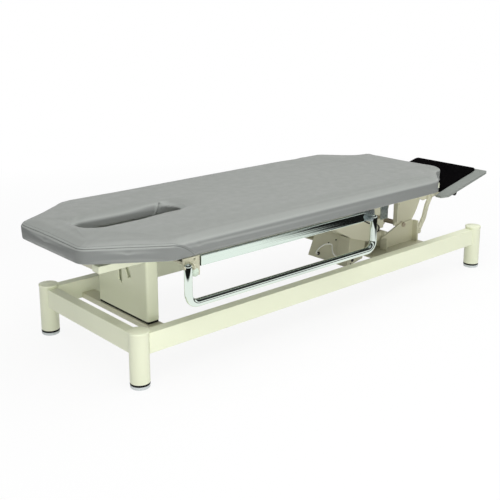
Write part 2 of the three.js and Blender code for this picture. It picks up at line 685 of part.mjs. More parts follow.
// Folded pivot bracket with its flanges, boss, ear and link stud
function pivotBracket(name, side) {
  const inner = BRACKET_Y;
  const outer = BRACKET_Y + BRACKET_THICKNESS;
  const tip = BRACKET_Y + BRACKET_DEPTH;
  const head = PIVOT_X - BRACKET_HEAD_REACH;
  const foot = PIVOT_X + BRACKET_FOOT_REACH;
  const bottom = PLATE_TOP + GAP;
  const top = PIVOT_Z + BRACKET_THICKNESS + GAP;
  const shoulder = bottom + BRACKET_HEAD_HEIGHT;
  const profile = [
    [head, bottom],
    [foot, bottom],
    [foot, top],
    [PIVOT_X - BRACKET_FLAT_REACH, top],
    [head, shoulder],
  ];
  const plate = sheetXZ(rounded(profile, [0, 0, BRACKET_NOTCH, BRACKET_EASE, BRACKET_NOTCH]), inner, outer);
  const headFlange = block(head, head + BRACKET_THICKNESS, outer - GAP, tip, bottom, shoulder);
  const footFlange = block(foot - BRACKET_THICKNESS, foot, outer - GAP, tip, bottom, top);
  const boss = rodY(BRACKET_BOSS_DIAMETER / 2, outer - GAP, outer + LINK_PLAY, PIVOT_X, PIVOT_Z, ROUND);
  const ear = join(
    rodY(EAR_RADIUS, inner, outer, LINK_FOOT[0], LINK_FOOT[1], ROUND),
    block(foot - BRACKET_THICKNESS, LINK_FOOT[0], inner, outer, LINK_FOOT[1] - EAR_RADIUS, LINK_FOOT[1] + EAR_RADIUS),
  );
  const stud = join(
    rodY(STUD_DIAMETER / 2, inner, LINK_Y + LINK_THICKNESS + LINK_PLAY, LINK_FOOT[0], LINK_FOOT[1]),
    rodY(
      STUD_HEAD_DIAMETER / 2, LINK_Y + LINK_THICKNESS + GAP, LINK_Y + LINK_THICKNESS + STUD_HEAD_HEIGHT,
      LINK_FOOT[0], LINK_FOOT[1]),
  );
  const shaftHole = rodY(
    SHAFT_DIAMETER / 2 + HOLE_CLEARANCE, inner - OVERRUN, outer + OVERRUN, PIVOT_X, PIVOT_Z, ROUND);
  const notch = rodY(BRACKET_NOTCH / 2, inner - OVERRUN, outer + OVERRUN, PIVOT_X - LUG_SLOT_REACH, bottom);
  const whole = cut(join(plate, headFlange, footFlange, boss, ear, stud), shaftHole, notch);
  return piece(name, side > 0 ? whole : mirrored(whole), BEIGE_SHADE());
}

// Web between the brackets, with the ears of the actuator's clevis
function bracketWeb(name) {
  const x = PIVOT_X - WEB_SETBACK;
  const end = BRACKET_Y - GAP;
  const bottom = PLATE_TOP + GAP;
  const wall = block(x, x + WEB_THICKNESS, -end, end, bottom, bottom + WEB_HEIGHT);
  const half = CLEVIS_GAP / 2;
  const low = ROD_EYE[1] - CLEVIS_HEIGHT / 2;
  const high = ROD_EYE[1] + CLEVIS_HEIGHT / 2;
  const ears = [1, -1].map((side) => {
    const near = DRIVE_Y + side * half;
    const far = DRIVE_Y + side * (half + CLEVIS_THICKNESS);
    const plate = block(x - CLEVIS_REACH, x + GAP, Math.min(near, far), Math.max(near, far), low, high);
    const hole = rodY(
      EYE_BORE / 2, Math.min(near, far) - OVERRUN, Math.max(near, far) + OVERRUN, ROD_EYE[0], ROD_EYE[1]);
    return cut(plate, hole);
  });
  return piece(name, join(wall, ...ears), BEIGE_SHADE());
}

function pivotShaft(name) {
  const end = BRACKET_Y + BRACKET_THICKNESS + SHAFT_STICKOUT;
  return piece(name, rodY(SHAFT_DIAMETER / 2, -end, end, PIVOT_X, PIVOT_Z, ROUND), STEEL());
}

// Quadrant lug of the top, from the frame down to the tilt axis
function pivotLug(name, side) {
  const inner = LUG_Y;
  const outer = LUG_Y + LUG_THICKNESS;
  const head = PIVOT_X - LUG_HEAD_REACH;
  const foot = PIVOT_X + LUG_FOOT_REACH;
  const top = FRAME_BOTTOM - GAP;
  const curveTop = [foot, PIVOT_Z + LUG_CURVE_TOP];
  const curveFoot = [PIVOT_X + LUG_CURVE_FOOT_REACH, PIVOT_Z - LUG_CURVE_FOOT_DROP];
  const chord = new THREE.Vector2(curveTop[0] - curveFoot[0], curveTop[1] - curveFoot[1]);
  const across = new THREE.Vector2(chord.y, -chord.x).normalize();
  const steps = CORNER_STEPS + CORNER_STEPS;
  const curve = Array.from({ length: steps + 1 }, (_, k) => {
    const share = k / steps;
    const bulge = LUG_CURVE_BULGE * 4 * share * (1 - share);
    return [
      curveFoot[0] + chord.x * share + across.x * bulge,
      curveFoot[1] + chord.y * share + across.y * bulge,
    ];
  });
  const hub = arc(PIVOT_X, PIVOT_Z, LUG_HUB_RADIUS, -Math.PI, -Math.PI / 6, CORNER_STEPS + CORNER_STEPS);
  const ear = arc(HINGE[0], HINGE[1], LUG_EAR_RADIUS, 0, Math.PI, CORNER_STEPS + CORNER_STEPS);
  const profile = [
    [head, top],
    [head, PIVOT_Z],
    ...hub,
    ...curve,
    ...ear,
    [HINGE[0] - LUG_EAR_RADIUS, top],
  ];
  const plate = sheetXZ(profile, inner, outer);
  const flange = block(
    head, head + LUG_FLANGE_THICKNESS, outer - GAP, outer + LUG_FLANGE, PIVOT_Z + LUG_HUB_RADIUS / 2, top);
  const holes = [
    rodY(SHAFT_DIAMETER / 2 + HOLE_CLEARANCE, inner - OVERRUN, outer + OVERRUN, PIVOT_X, PIVOT_Z, ROUND),
    rodY(STUD_DIAMETER / 2 + HOLE_CLEARANCE, inner - OVERRUN, outer + OVERRUN, HINGE[0], HINGE[1]),
    sheetXZ(
      stadium(head + LUG_HOLE_LENGTH, PIVOT_Z + LUG_CURVE_TOP, LUG_HOLE_LENGTH, LUG_HOLE_WIDTH),
      inner - OVERRUN, outer + OVERRUN),
  ];
  const whole = cut(join(plate, flange), ...holes);
  return piece(name, side > 0 ? whole : mirrored(whole), BEIGE_SHADE());
}

// Top frame
function frameRail(name, side) {
  const inner = FRAME_INNER_Y;
  const outer = FRAME_HALF_WIDTH;
  const head = CUSHION_HEAD_X + FRAME_HEAD_INSET;
  const foot = PIVOT_X + FRAME_FOOT_REACH;
  const bar = block(head, foot, inner, outer, FRAME_BOTTOM, FRAME_TOP);
  const bore = block(
    head + FRAME_WALL, foot + OVERRUN, inner + FRAME_WALL, outer - FRAME_WALL,
    FRAME_BOTTOM + FRAME_WALL, FRAME_TOP - FRAME_WALL);
  const whole = cut(bar, bore);
  return piece(name, side > 0 ? whole : mirrored(whole), BEIGE());
}

function frameMember(name, x0, x1, z0, z1, wall) {
  const end = FRAME_INNER_Y - GAP;
  const bar = block(x0, x1, -end, end, z0, z1);
  if (wall === 0) return piece(name, bar, BEIGE_SHADE());
  const bore = block(x0 + wall, x1 - wall, -end - OVERRUN, end + OVERRUN, z0 + wall, z1 - wall);
  return piece(name, cut(bar, bore), BEIGE_SHADE());
}

// Plan of the cushion from the head end, anticlockwise
function cushionPlan(inset, footInset) {
  const head = CUSHION_HEAD_X + inset;
  const headShoulder = CUSHION_HEAD_X + CUSHION_HEAD_SHOULDER + inset / 2;
  const footShoulder = PIVOT_X - CUSHION_FOOT_SHOULDER - inset / 2;
  const neck = PIVOT_X + CUSHION_NECK_REACH - inset / 2;
  const end = PIVOT_X + CUSHION_FOOT_REACH - footInset;
  const half = [
    [head, CUSHION_HEAD_HALF - inset / 2],
    [headShoulder, CUSHION_HALF - inset],
    [footShoulder, CUSHION_HALF - inset],
    [neck, CUSHION_NECK_HALF - inset],
    [end, CUSHION_END_HALF - inset],
  ];
  const near = half.map(([x, y]) => [x, -y]);
  const far = half.toReversed();
  const radii = [...CUSHION_CORNERS, ...CUSHION_CORNERS.toReversed()];
  return rounded([...near, ...far], radii);
}

// Spread a given number of points evenly along a closed outline, corners kept
function spread(loop, count) {
  const path = loop.map(([x, y]) => new THREE.Vector2(x, y));
  const total = path.reduce((sum, p, i) => sum + p.distanceTo(path[(i + 1) % path.length]), 0);
  const out = [];
  path.forEach((p, i) => {
    const next = path[(i + 1) % path.length];
    const parts = Math.max(1, Math.round((p.distanceTo(next) / total) * count));
    for (let k = 0; k < parts; k += 1) out.push(p.clone().lerp(next, k / parts));
  });
  return out;
}

function distanceTo(loop, x, y) {
  let best = Infinity;
  const at = new THREE.Vector2(x, y);
  loop.forEach((p, i) => {
    const q = loop[(i + 1) % loop.length];
    const way = q.clone().sub(p);
    const along = THREE.MathUtils.clamp(at.clone().sub(p).dot(way) / way.lengthSq(), 0, 1);
    best = Math.min(best, p.clone().addScaledVector(way, along).distanceTo(at));
  });
  return best;
}

// Cushion: sides drawn in below a seam, a rounded top edge, a crown and the breathing slot
function cushion(name) {
  const edge = spread(cushionPlan(0, 0), CUSHION_SIDE_POINTS);
  const count = edge.length;
  const normals = edge.map((p, i) => {
    const before = edge[(i + count - 1) % count];
    const after = edge[(i + 1) % count];
    const way = after.clone().sub(before).normalize();
    return new THREE.Vector2(way.y, -way.x);
  });
  const slotX = CUSHION_HEAD_X + BREATHING_SETBACK + BREATHING_LENGTH / 2;
  const run = BREATHING_LENGTH / 2 - BREATHING_HALF;
  const lengths = edge.map((p, i) => p.distanceTo(edge[(i + 1) % count]));
  const total = lengths.reduce((sum, one) => sum + one);
  let walked = Math.abs(edge[0].y) - total / 2;
  const shares = lengths.map((one) => {
    const share = (walked / total + 1) % 1;
    walked += one;
    return share;
  });
  const slotAt = (share) => {
    let walk = share * (2 * Math.PI * BREATHING_HALF + 4 * run);
    const quarter = (Math.PI / 2) * BREATHING_HALF;
    const spots = [quarter, 2 * run, 2 * quarter, 2 * run, quarter];
    const cap = (x, angle) => new THREE.Vector2(
      slotX + x + BREATHING_HALF * Math.cos(angle), BREATHING_HALF * Math.sin(angle));
    if (walk <= spots[0]) return cap(run, walk / BREATHING_HALF);
    walk -= spots[0];
    if (walk <= spots[1]) return new THREE.Vector2(slotX + run - walk, BREATHING_HALF);
    walk -= spots[1];
    if (walk <= spots[2]) return cap(-run, Math.PI / 2 + walk / BREATHING_HALF);
    walk -= spots[2];
    if (walk <= spots[3]) return new THREE.Vector2(slotX - run + walk, -BREATHING_HALF);
    return cap(run, -Math.PI / 2 + (walk - spots[3]) / BREATHING_HALF);
  };
  const hole = shares.map(slotAt);
  const seam = CUSHION_BOTTOM + CUSHION_HEIGHT * CUSHION_SEAM_SHARE;
  const shoulder = CUSHION_TOP - CUSHION_ROUND;
  const sideRings = [
    [CUSHION_DRAW, CUSHION_BOTTOM],
    [0, seam - CUSHION_SEAM_WIDTH],
    [CUSHION_SEAM_DEPTH, seam],
    [0, Math.min(seam + CUSHION_SEAM_WIDTH, shoulder)],
  ];
  for (let k = 1; k < CORNER_STEPS; k += 1) {
    const angle = (Math.PI / 2) * (k / (CORNER_STEPS - 1));
    sideRings.push([
      CUSHION_ROUND * (1 - Math.cos(angle)),
      shoulder + CUSHION_ROUND * Math.sin(angle),
    ]);
  }
  const rings = sideRings.map(([inset, z]) => edge.map((p, i) => {
    const at = p.clone().addScaledVector(normals[i], -inset);
    return [at.x, at.y, z];
  }));
  const lift = (x, y) => {
    const share = THREE.MathUtils.smoothstep(distanceTo(edge, x, y) - CUSHION_ROUND, 0, CUSHION_CROWN_RUN);
    return CUSHION_TOP + CUSHION_CROWN * share;
  };
  const last = rings.at(-1);
  TOP_RING_SHARES.forEach((share) => {
    rings.push(last.map(([x, y], i) => {
      const at = new THREE.Vector2(x, y).lerp(hole[i], share);
      return [at.x, at.y, lift(at.x, at.y)];
    }));
  });
  const lip = CUSHION_SEAM_WIDTH;
  rings.push(hole.map((p) => [p.x, p.y, lift(p.x, p.y) - lip]));
  rings.push(hole.map((p) => [p.x, p.y, CUSHION_BOTTOM]));
  const places = rings.flat(2);
  const corners = [];
  rings.forEach((_, r) => {
    const below = r * count;
    const above = ((r + 1) % rings.length) * count;
    for (let i = 0; i < count; i += 1) {
      const next = (i + 1) % count;
      corners.push(below + i, below + next, above + next, below + i, above + next, above + i);
    }
  });
  const geometry = new THREE.BufferGeometry();
  geometry.setAttribute("position", new THREE.Float32BufferAttribute(places, 3));
  geometry.setIndex(corners);
  return piece(name, solid(geometry), paint(0xa8ada7, 0.5, 0));
}

function deckBoard(name) {
  const board = sheetXY(cushionPlan(DECK_INSET, DECK_FOOT_INSET), DECK_BOTTOM, DECK_TOP);
  const slotX = CUSHION_HEAD_X + BREATHING_SETBACK + BREATHING_LENGTH / 2;
  const margin = 2 * DECK_SLOT_MARGIN;
  const slot = sheetXY(
    stadium(slotX, 0, BREATHING_LENGTH + margin, 2 * BREATHING_HALF + margin),
    DECK_BOTTOM - OVERRUN, DECK_TOP + OVERRUN);
  return piece(name, cut(board, slot), paint(0x8a7a5e, 0.7, 0));
}

// Side rails, their mounts and the grab bars; made for y > 0 and mirrored
const RAIL_HEAD_X = PIVOT_X - SIDE_RAIL_HEAD_REACH;
const RAIL_FOOT_X = PIVOT_X - SIDE_RAIL_FOOT_REACH;
const BAR_HEAD_X = RAIL_HEAD_X - BAR_HEAD_INSET;
const BAR_FOOT_X = BAR_HEAD_X + BAR_SPAN;
const BAR_Z = FRAME_BOTTOM + BAR_PIVOT_RISE;
const MOUNT_FACE = SIDE_RAIL_FACE - SIDE_RAIL_THICKNESS + MOUNT_THICKNESS;
const BAR_Y = MOUNT_FACE + BAR_DIAMETER / 2 + BAR_PLAY;

function chromeRail(name, side) {
  const inner = SIDE_RAIL_FACE - SIDE_RAIL_THICKNESS;
  const top = FRAME_BOTTOM + SIDE_RAIL_HEIGHT;
  const section = [
    [inner, FRAME_BOTTOM],
    [SIDE_RAIL_FACE, FRAME_BOTTOM],
    [SIDE_RAIL_FACE, top],
    [inner, top],
  ];
  const hollow = [
    [inner + SIDE_RAIL_WALL, FRAME_BOTTOM + SIDE_RAIL_WALL],
    [SIDE_RAIL_FACE - SIDE_RAIL_WALL, FRAME_BOTTOM + SIDE_RAIL_WALL],
    [SIDE_RAIL_FACE - SIDE_RAIL_WALL, top - SIDE_RAIL_WALL],
    [inner + SIDE_RAIL_WALL, top - SIDE_RAIL_WALL],
  ];
  const whole = cut(
    sheetYZ(rounded(section, SIDE_RAIL_EDGE, 2), RAIL_HEAD_X, RAIL_FOOT_X),
    sheetYZ(hollow, RAIL_HEAD_X - OVERRUN, RAIL_FOOT_X + OVERRUN));
  return piece(name, side > 0 ? whole : mirrored(whole), CHROME());
}

// end: -1 at the head, 1 at the foot
function railMount(name, side, end) {
  const root = end < 0 ? RAIL_HEAD_X - GAP : RAIL_FOOT_X + GAP;
  const tip = root + end * MOUNT_LENGTH;
  const pivotX = end < 0 ? BAR_HEAD_X : BAR_FOOT_X;
  const inner = MOUNT_FACE - MOUNT_THICKNESS;
  const top = FRAME_BOTTOM + SIDE_RAIL_HEIGHT - GAP;
  const span = (a, b) => [Math.min(a, b), Math.max(a, b)];
  const plate = block(...span(root, tip), inner, MOUNT_FACE, FRAME_BOTTOM, top);
  const armZ = FRAME_BOTTOM + MOUNT_ARM_RISE;
  const armX = (root + tip) / 2;
  const arm = block(
    armX - MOUNT_ARM_LENGTH / 2, armX + MOUNT_ARM_LENGTH / 2, FRAME_HALF_WIDTH + GAP, inner + GAP,
    armZ, armZ + MOUNT_ARM_THICKNESS);
  const earX = pivotX - end * (BAR_DIAMETER / 2 + BAR_PLAY);
  const ear = join(
    block(
      ...span(earX, earX - end * BAR_EAR_THICKNESS), MOUNT_FACE - GAP, BAR_Y,
      BAR_Z - BAR_EAR_HEIGHT / 2, BAR_Z + BAR_EAR_HEIGHT / 2),
    rodX(BAR_EAR_HEIGHT / 2, ...span(earX, earX - end * BAR_EAR_THICKNESS), BAR_Y, BAR_Z, ROUND),
  );
  const pinEnd = pivotX + end * (BAR_DIAMETER / 2 + BAR_PLAY);
  const pin = rodX(BAR_PIN_DIAMETER / 2, ...span(earX - end * GAP, pinEnd), BAR_Y, BAR_Z);
  const pieces = [plate, arm, ear, pin];
  const hole = rodY(
    MOUNT_HOLE_DIAMETER / 2, inner - OVERRUN, MOUNT_FACE + OVERRUN,
    (root + earX) / 2, top - MOUNT_HOLE_DIAMETER);
  const cuts = [hole];
  if (end < 0) {
    const tab = block(
      root - MOUNT_TAB_LENGTH, root, inner, MOUNT_FACE, FRAME_BOTTOM - MOUNT_TAB_DROP, FRAME_BOTTOM + GAP);
    pieces.push(tab);
    cuts.push(rodY(
      KNOB_SHANK_DIAMETER / 2 + HOLE_CLEARANCE, inner - OVERRUN, MOUNT_FACE + OVERRUN,
      root - KNOB_INSET, FRAME_BOTTOM - KNOB_DROP));
  }
  const whole = cut(join(...pieces), ...cuts);
  return piece(name, side > 0 ? whole : mirrored(whole), end < 0 ? BEIGE_SHADE() : ZINC());
}

function knob(name, side) {
  const x = RAIL_HEAD_X - GAP - KNOB_INSET;
  const z = FRAME_BOTTOM - KNOB_DROP;
  const radius = KNOB_DIAMETER / 2;
  const shank = KNOB_SHANK_DIAMETER / 2;
  const start = MOUNT_FACE - MOUNT_THICKNESS - 2 * GAP;
  const face = MOUNT_FACE + GAP;
  const profile = [
    [0, start],
    [shank, start],
    [shank, face],
    [radius * KNOB_ROOT_SHARE, face],
    [radius, face + KNOB_LENGTH / 3],
    [radius, face + (2 * KNOB_LENGTH) / 3],
    [radius * KNOB_DOME_SHARE, face + KNOB_LENGTH * KNOB_DOME_LENGTH_SHARE],
    [0, face + KNOB_LENGTH],
  ];
  const points = profile.map(([r, y]) => new THREE.Vector2(r, y));
  const whole = solid(new THREE.LatheGeometry(points, ROUND).translate(x, 0, z));
  return piece(name, side > 0 ? whole : mirrored(whole), paint(0xc9d2bd, 0.4, 0));
}

function grabBar(name, side) {
  const low = BAR_Z - BAR_DROP;
  const bend = (x, start, steps) => arc(x, low + BAR_BEND, BAR_BEND, start, start + Math.PI / 2, steps);
  const steps = CORNER_STEPS + 2;
  const knots = [
    [BAR_HEAD_X, BAR_Z],
    ...bend(BAR_HEAD_X + BAR_BEND, Math.PI, steps),
    ...bend(BAR_FOOT_X - BAR_BEND, -Math.PI / 2, steps),
    [BAR_FOOT_X, BAR_Z],
  ].map(([x, z]) => new THREE.Vector3(x, BAR_Y, z));
  const radius = BAR_DIAMETER / 2;
  const ball = (x, r) => solid(new THREE.SphereGeometry(r, SMALL_ROUND, CORNER_STEPS * 2).translate(x, BAR_Y, BAR_Z));
  const skin = join(swept(knots, radius, SMALL_ROUND), ball(BAR_HEAD_X, radius), ball(BAR_FOOT_X, radius));
  const bore = swept(knots, radius - BAR_WALL, SMALL_ROUND / 2);
  const holes = [BAR_HEAD_X, BAR_FOOT_X].map((x) => rodX(
    BAR_PIN_DIAMETER / 2 + HOLE_CLEARANCE, x - radius - OVERRUN, x + radius + OVERRUN, BAR_Y, BAR_Z));
  const whole = cut(skin, bore, ...holes);
  return piece(name, side > 0 ? whole : mirrored(whole), CHROME());
}

// Cradle: a plate between the frame rails with two cheeks that carry the drive's trunnions
function driveCradle(name) {
  const head = PIVOT_X - CHEEK_HEAD_REACH;
  const foot = PIVOT_X - CHEEK_FOOT_REACH;
  const under = FRAME_BOTTOM + CRADLE_RISE;
  const length = foot - head;
  const low = CHEEK_SHARES.map(([along, down]) => [head + along * length, FRAME_BOTTOM - down * CHEEK_DEPTH]);
  const profile = [[head, under + GAP], ...low, [foot, under + GAP]];
  const end = FRAME_INNER_Y - GAP;
  const roof = block(head, foot, -end, end, under, under + CRADLE_TOP_THICKNESS);
  const cheeks = [1, -1].map((side) => {
    const inner = side * CHEEK_Y;
    const outer = side * (CHEEK_Y + CHEEK_THICKNESS);
    return sheetXZ(profile, Math.min(inner, outer), Math.max(inner, outer));
  });
  const face = CHEEK_Y + CHEEK_THICKNESS;
  const ribX = head + RIB_SHARE * length;
  const rib = block(
    ribX - RIB_WIDTH / 2, ribX + RIB_WIDTH / 2, -face - RIB_THICKNESS, -face + GAP,
    FRAME_BOTTOM - RIB_HEIGHT, under);
  const cuts = [
    rodY(
      TRUNNION_DIAMETER / 2 + HOLE_CLEARANCE, -face - OVERRUN, face + OVERRUN,
      DRIVE_PIVOT[0], DRIVE_PIVOT[1], ROUND),
    sheetXZ(
      stadium(foot - RECESS_SETBACK, FRAME_BOTTOM - RECESS_DROP, RECESS_LENGTH, RECESS_HEIGHT),
      -face - OVERRUN, -CHEEK_Y + OVERRUN),
    rodY(
      SCREW_HOLE / 2, -face - OVERRUN, -CHEEK_Y + OVERRUN,
      head + CHEEK_HOLE_SHARE * length, FRAME_BOTTOM - CHEEK_HOLE_DROP),
  ];
  return piece(name, cut(join(roof, ...cheeks, rib), ...cuts), BEIGE_SHADE());
}

function zincAngle(name) {
  const foot = PIVOT_X - CHEEK_FOOT_REACH;
  const face = -CHEEK_Y - CHEEK_THICKNESS - GAP;
  const top = FRAME_BOTTOM - ANGLE_DROP;
  const bottom = top - ANGLE_HEIGHT;
  const start = foot - ANGLE_LENGTH / 2;
  const end = start + ANGLE_LENGTH;
  const plate = block(start, end, face - ANGLE_THICKNESS, face, bottom, top);
  const flange = block(end - ANGLE_THICKNESS, end, face - GAP, face + ANGLE_FLANGE, bottom, top);
  const holes = [1, -1].map((side) => rodY(
    ANGLE_HOLE / 2, face - ANGLE_THICKNESS - OVERRUN, face + OVERRUN,
    end - ANGLE_LENGTH / 4, (top + bottom) / 2 + (side * ANGLE_HEIGHT) / 4));
  return piece(name, cut(join(plate, flange), ...holes), ZINC());
}

// A solid given in the actuator's own frame: s along it from the pivot, t across it, upwards
function alongActuator(body) {
  const turn = new THREE.Matrix4().makeRotationY(-ACTUATOR_ANGLE);
  turn.setPosition(DRIVE_PIVOT[0], 0, DRIVE_PIVOT[1]);
  return body.transform(turn.elements);
}

function gearBlock(grow) {
  return alongActuator(block(
    -GEAR_HEAD_REACH - grow, GEAR_FOOT_REACH + grow, DRIVE_Y - GEAR_WIDTH / 2 - grow,
    DRIVE_Y + GEAR_WIDTH / 2 + grow, -GEAR_DEPTH - grow, GEAR_RISE + grow));
}

function boxOutline(shares) {
  const bottom = DRIVE_PIVOT[1] - HOUSING_TOP_DROP - HOUSING_HEIGHT;
  return shares.map(([along, up]) => [
    DRIVE_PIVOT[0] + HOUSING_X + along * HOUSING_LENGTH,
    bottom + up * HOUSING_HEIGHT,
  ]);
}

function tubeCutter(radius, from) {
  return alongActuator(rodX(radius, from, TUBE_END + OVERRUN, DRIVE_Y, 0, ROUND));
}

function driveHousing(name) {
  const box = sheetXZ(boxOutline(HOUSING_SHARES), HOUSING_SPLIT_Y, HOUSING_FAR);
  const trunnionEnd = CHEEK_Y + CHEEK_THICKNESS + GAP;
  const trunnion = rodY(
    TRUNNION_DIAMETER / 2, -trunnionEnd, trunnionEnd, DRIVE_PIVOT[0], DRIVE_PIVOT[1], ROUND);
  const holes = HOUSING_HOLE_SHARES.map(([across, up, wide]) => {
    const [low, , , ] = boxOutline(HOUSING_SHARES);
    const high = boxOutline(HOUSING_SHARES)[1];
    const x = low[0] + up * (high[0] - low[0]);
    const z = low[1] + up * (high[1] - low[1]);
    const y = HOUSING_SPLIT_Y + across * (HOUSING_FAR - HOUSING_SPLIT_Y);
    const radius = wide === 1 ? GROMMET_DIAMETER / 2 : SCREW_HOLE / 2;
    return rodX(radius, x - SCREW_DEPTH, x + SCREW_DEPTH, y, z);
  });
  const whole = cut(join(gearBlock(0), box, trunnion), tubeCutter(TUBE_DIAMETER / 2 + GAP, TUBE_START - GAP), ...holes);
  return piece(name, whole, BEIGE_SHADE());
}

function driveMotor(name) {
  const shape = boxOutline(MOTOR_SHARES);
  const box = sheetXZ(shape, -HOUSING_NEAR, HOUSING_SPLIT_Y - GAP);
  const holes = MOTOR_HOLE_SHARES.map(([along, up, wide]) => {
    const [x, z] = boxOutline([[along, up]])[0];
    const radius = wide === 1 ? GROMMET_DIAMETER / 2 : SCREW_HOLE / 2;
    return rodY(radius, -HOUSING_NEAR - OVERRUN, -HOUSING_NEAR + SCREW_DEPTH, x, z);
  });
  return piece(
    name, cut(box, gearBlock(GAP), tubeCutter(TUBE_DIAMETER / 2 + GAP, TUBE_START), ...holes), BEIGE_SHADE());
}

function actuatorTube(name) {
  const outer = alongActuator(rodX(TUBE_DIAMETER / 2, TUBE_START, TUBE_END, DRIVE_Y, 0, ROUND));
  const bore = alongActuator(rodX(
    ROD_DIAMETER / 2 + ROD_PLAY, TUBE_START + TUBE_NOSE, TUBE_END + OVERRUN, DRIVE_Y, 0, ROUND));
  return piece(name, cut(outer, bore), STEEL());
}

function pushRod(name) {
  const rod = rodX(ROD_DIAMETER / 2, ACTUATOR_LENGTH - ROD_LENGTH, ACTUATOR_LENGTH, DRIVE_Y, 0, ROUND);
  const half = EYE_WIDTH / 2;
  const eye = rodY(EYE_RADIUS, DRIVE_Y - half, DRIVE_Y + half, ACTUATOR_LENGTH, 0, ROUND);
  const bore = rodY(
    EYE_BORE / 2, DRIVE_Y - half - OVERRUN, DRIVE_Y + half + OVERRUN, ACTUATOR_LENGTH, 0);
  return piece(name, alongActuator(cut(join(rod, eye), bore)), paint(0xcfc3b4, 0.5, 0.1));
}

// Bent link bar, parallel to the line from the tilt axis to the foot-plate hinge
function linkBar(name, side) {
  const way = [LINK_HEAD[0] - LINK_FOOT[0], LINK_HEAD[1] - LINK_FOOT[1]];
  const spine = LINK_BEND_SHARES.map(([a, b]) => new THREE.Vector2(
    LINK_FOOT[0] + a * way[0], LINK_FOOT[1] + b * way[1]));
  const half = LINK_WIDTH / 2;
  const inner = LINK_Y;
  const outer = LINK_Y + LINK_THICKNESS;
  const parts = spine.slice(1).map((to, i) => {
    const from = spine[i];
    const across = new THREE.Vector2(from.y - to.y, to.x - from.x).setLength(half);
    const strip = [
      [from.x - across.x, from.y - across.y],
      [to.x - across.x, to.y - across.y],
      [to.x + across.x, to.y + across.y],
      [from.x + across.x, from.y + across.y],
    ];
    return sheetXZ(strip, inner, outer);
  });
  const ends = spine.map((p) => rodY(half, inner, outer, p.x, p.y, ROUND));
  const holes = [
    rodY(STUD_DIAMETER / 2 + HOLE_CLEARANCE, inner - OVERRUN, outer + OVERRUN, LINK_FOOT[0], LINK_FOOT[1]),
    rodY(STUD_DIAMETER / 2 + LINK_PLAY, inner - OVERRUN, outer + OVERRUN, LINK_HEAD[0], LINK_HEAD[1]),
  ];
  const whole = cut(join(...parts, ...ends), ...holes);
  return piece(name, side > 0 ? whole : mirrored(whole), BEIGE_SHADE());
}

function hingePin(name) {
  const end = ARM_Y + BRACKET_THICKNESS + LINK_PLAY;
  return piece(name, rodY(STUD_DIAMETER / 2, -end, end, HINGE[0], HINGE[1]), STEEL());
}

// Section of the foot plate: straight from the outer edge, then rolled down; lift is measured
// upwards from the top face, and the strip is the given thickness below that
function rolledStrip(lift, thickness, straight, turn) {
  const heading = Math.PI + STEP_ANGLE;
  const up = new THREE.Vector2(-Math.sin(STEP_ANGLE), Math.cos(STEP_ANGLE));
  const start = new THREE.Vector2(STEP_OUTER_X, STEP_OUTER_Z);
  const bendAt = start.clone().add(new THREE.Vector2(Math.cos(heading), Math.sin(heading)).multiplyScalar(straight));
  const centre = bendAt.clone().addScaledVector(up, -STEP_BEND);
  const side = (offset) => {
    const first = start.clone().addScaledVector(up, offset);
    const from = Math.PI / 2 + STEP_ANGLE;
    const steps = CORNER_STEPS + 2;
    const bend = turn > 0 ? arc(centre.x, centre.y, STEP_BEND + offset, from, from + turn, steps)
      : [[bendAt.x + up.x * offset, bendAt.y + up.y * offset]];
    return [[first.x, first.y], ...bend];
  };
  return [...side(lift), ...side(lift - thickness).toReversed()];
}

function roundedPlan(near, inner, corner) {
  const outer = STEP_OUTER_X + (OVERRUN + STEP_THICKNESS) * Math.sin(STEP_ANGLE);
  return rounded(
    [[inner, -near], [outer, -near], [outer, STEP_FAR], [inner, STEP_FAR]],
    [0, corner, MAT_FAR_CORNER, 0],
  );
}

function footPlate(name) {
  const low = FRAME_BOTTOM - LINK_FOOT_X;
  const middle = sheetXZ(rolledStrip(0, STEP_THICKNESS, STEP_STRAIGHT, STEP_TURN), -MAT_NEAR, STEP_FAR);
  const border = sheetXZ(rolledStrip(0, STEP_THICKNESS, STEP_BORDER_LENGTH, 0), -STEP_NEAR, STEP_FAR);
  const window = block(
    HINGE[0] - OVERRUN, STEP_OUTER_X - STEP_STRAIGHT * Math.cos(STEP_ANGLE), -MAT_NEAR - GAP, STEP_FAR + GAP,
    low, STEP_OUTER_Z);
  const plan = sheetXY(roundedPlan(STEP_NEAR, HINGE[0], STEP_CORNER), low, STEP_OUTER_Z + OVERRUN);
  const x = STEP_OUTER_X - STEP_BORDER_LENGTH * Math.cos(STEP_ANGLE);
  const tip = sheetXY([
    [x - OVERRUN, -STEP_NEAR + STEP_CORNER + STEP_CORNER],
    [x - OVERRUN, -STEP_NEAR - OVERRUN],
    [x + STEP_CORNER + STEP_CORNER, -STEP_NEAR - OVERRUN],
  ], low, STEP_OUTER_Z);
  const whole = cut(join(middle, cut(border, window)), tip).intersect(plan);
  return piece(name, whole, GREY_PLASTIC());
}

function footMat(name) {
  const lift = GAP + MAT_THICKNESS;
  const strip = sheetXZ(rolledStrip(lift, MAT_THICKNESS, STEP_STRAIGHT, STEP_TURN), -MAT_NEAR, STEP_FAR);
  const plan = sheetXY(
    roundedPlan(MAT_NEAR, HINGE[0], MAT_CORNER), FRAME_BOTTOM - LINK_FOOT_X, STEP_OUTER_Z + 2 * OVERRUN);
  return piece(name, strip.intersect(plan), BLACK());
}

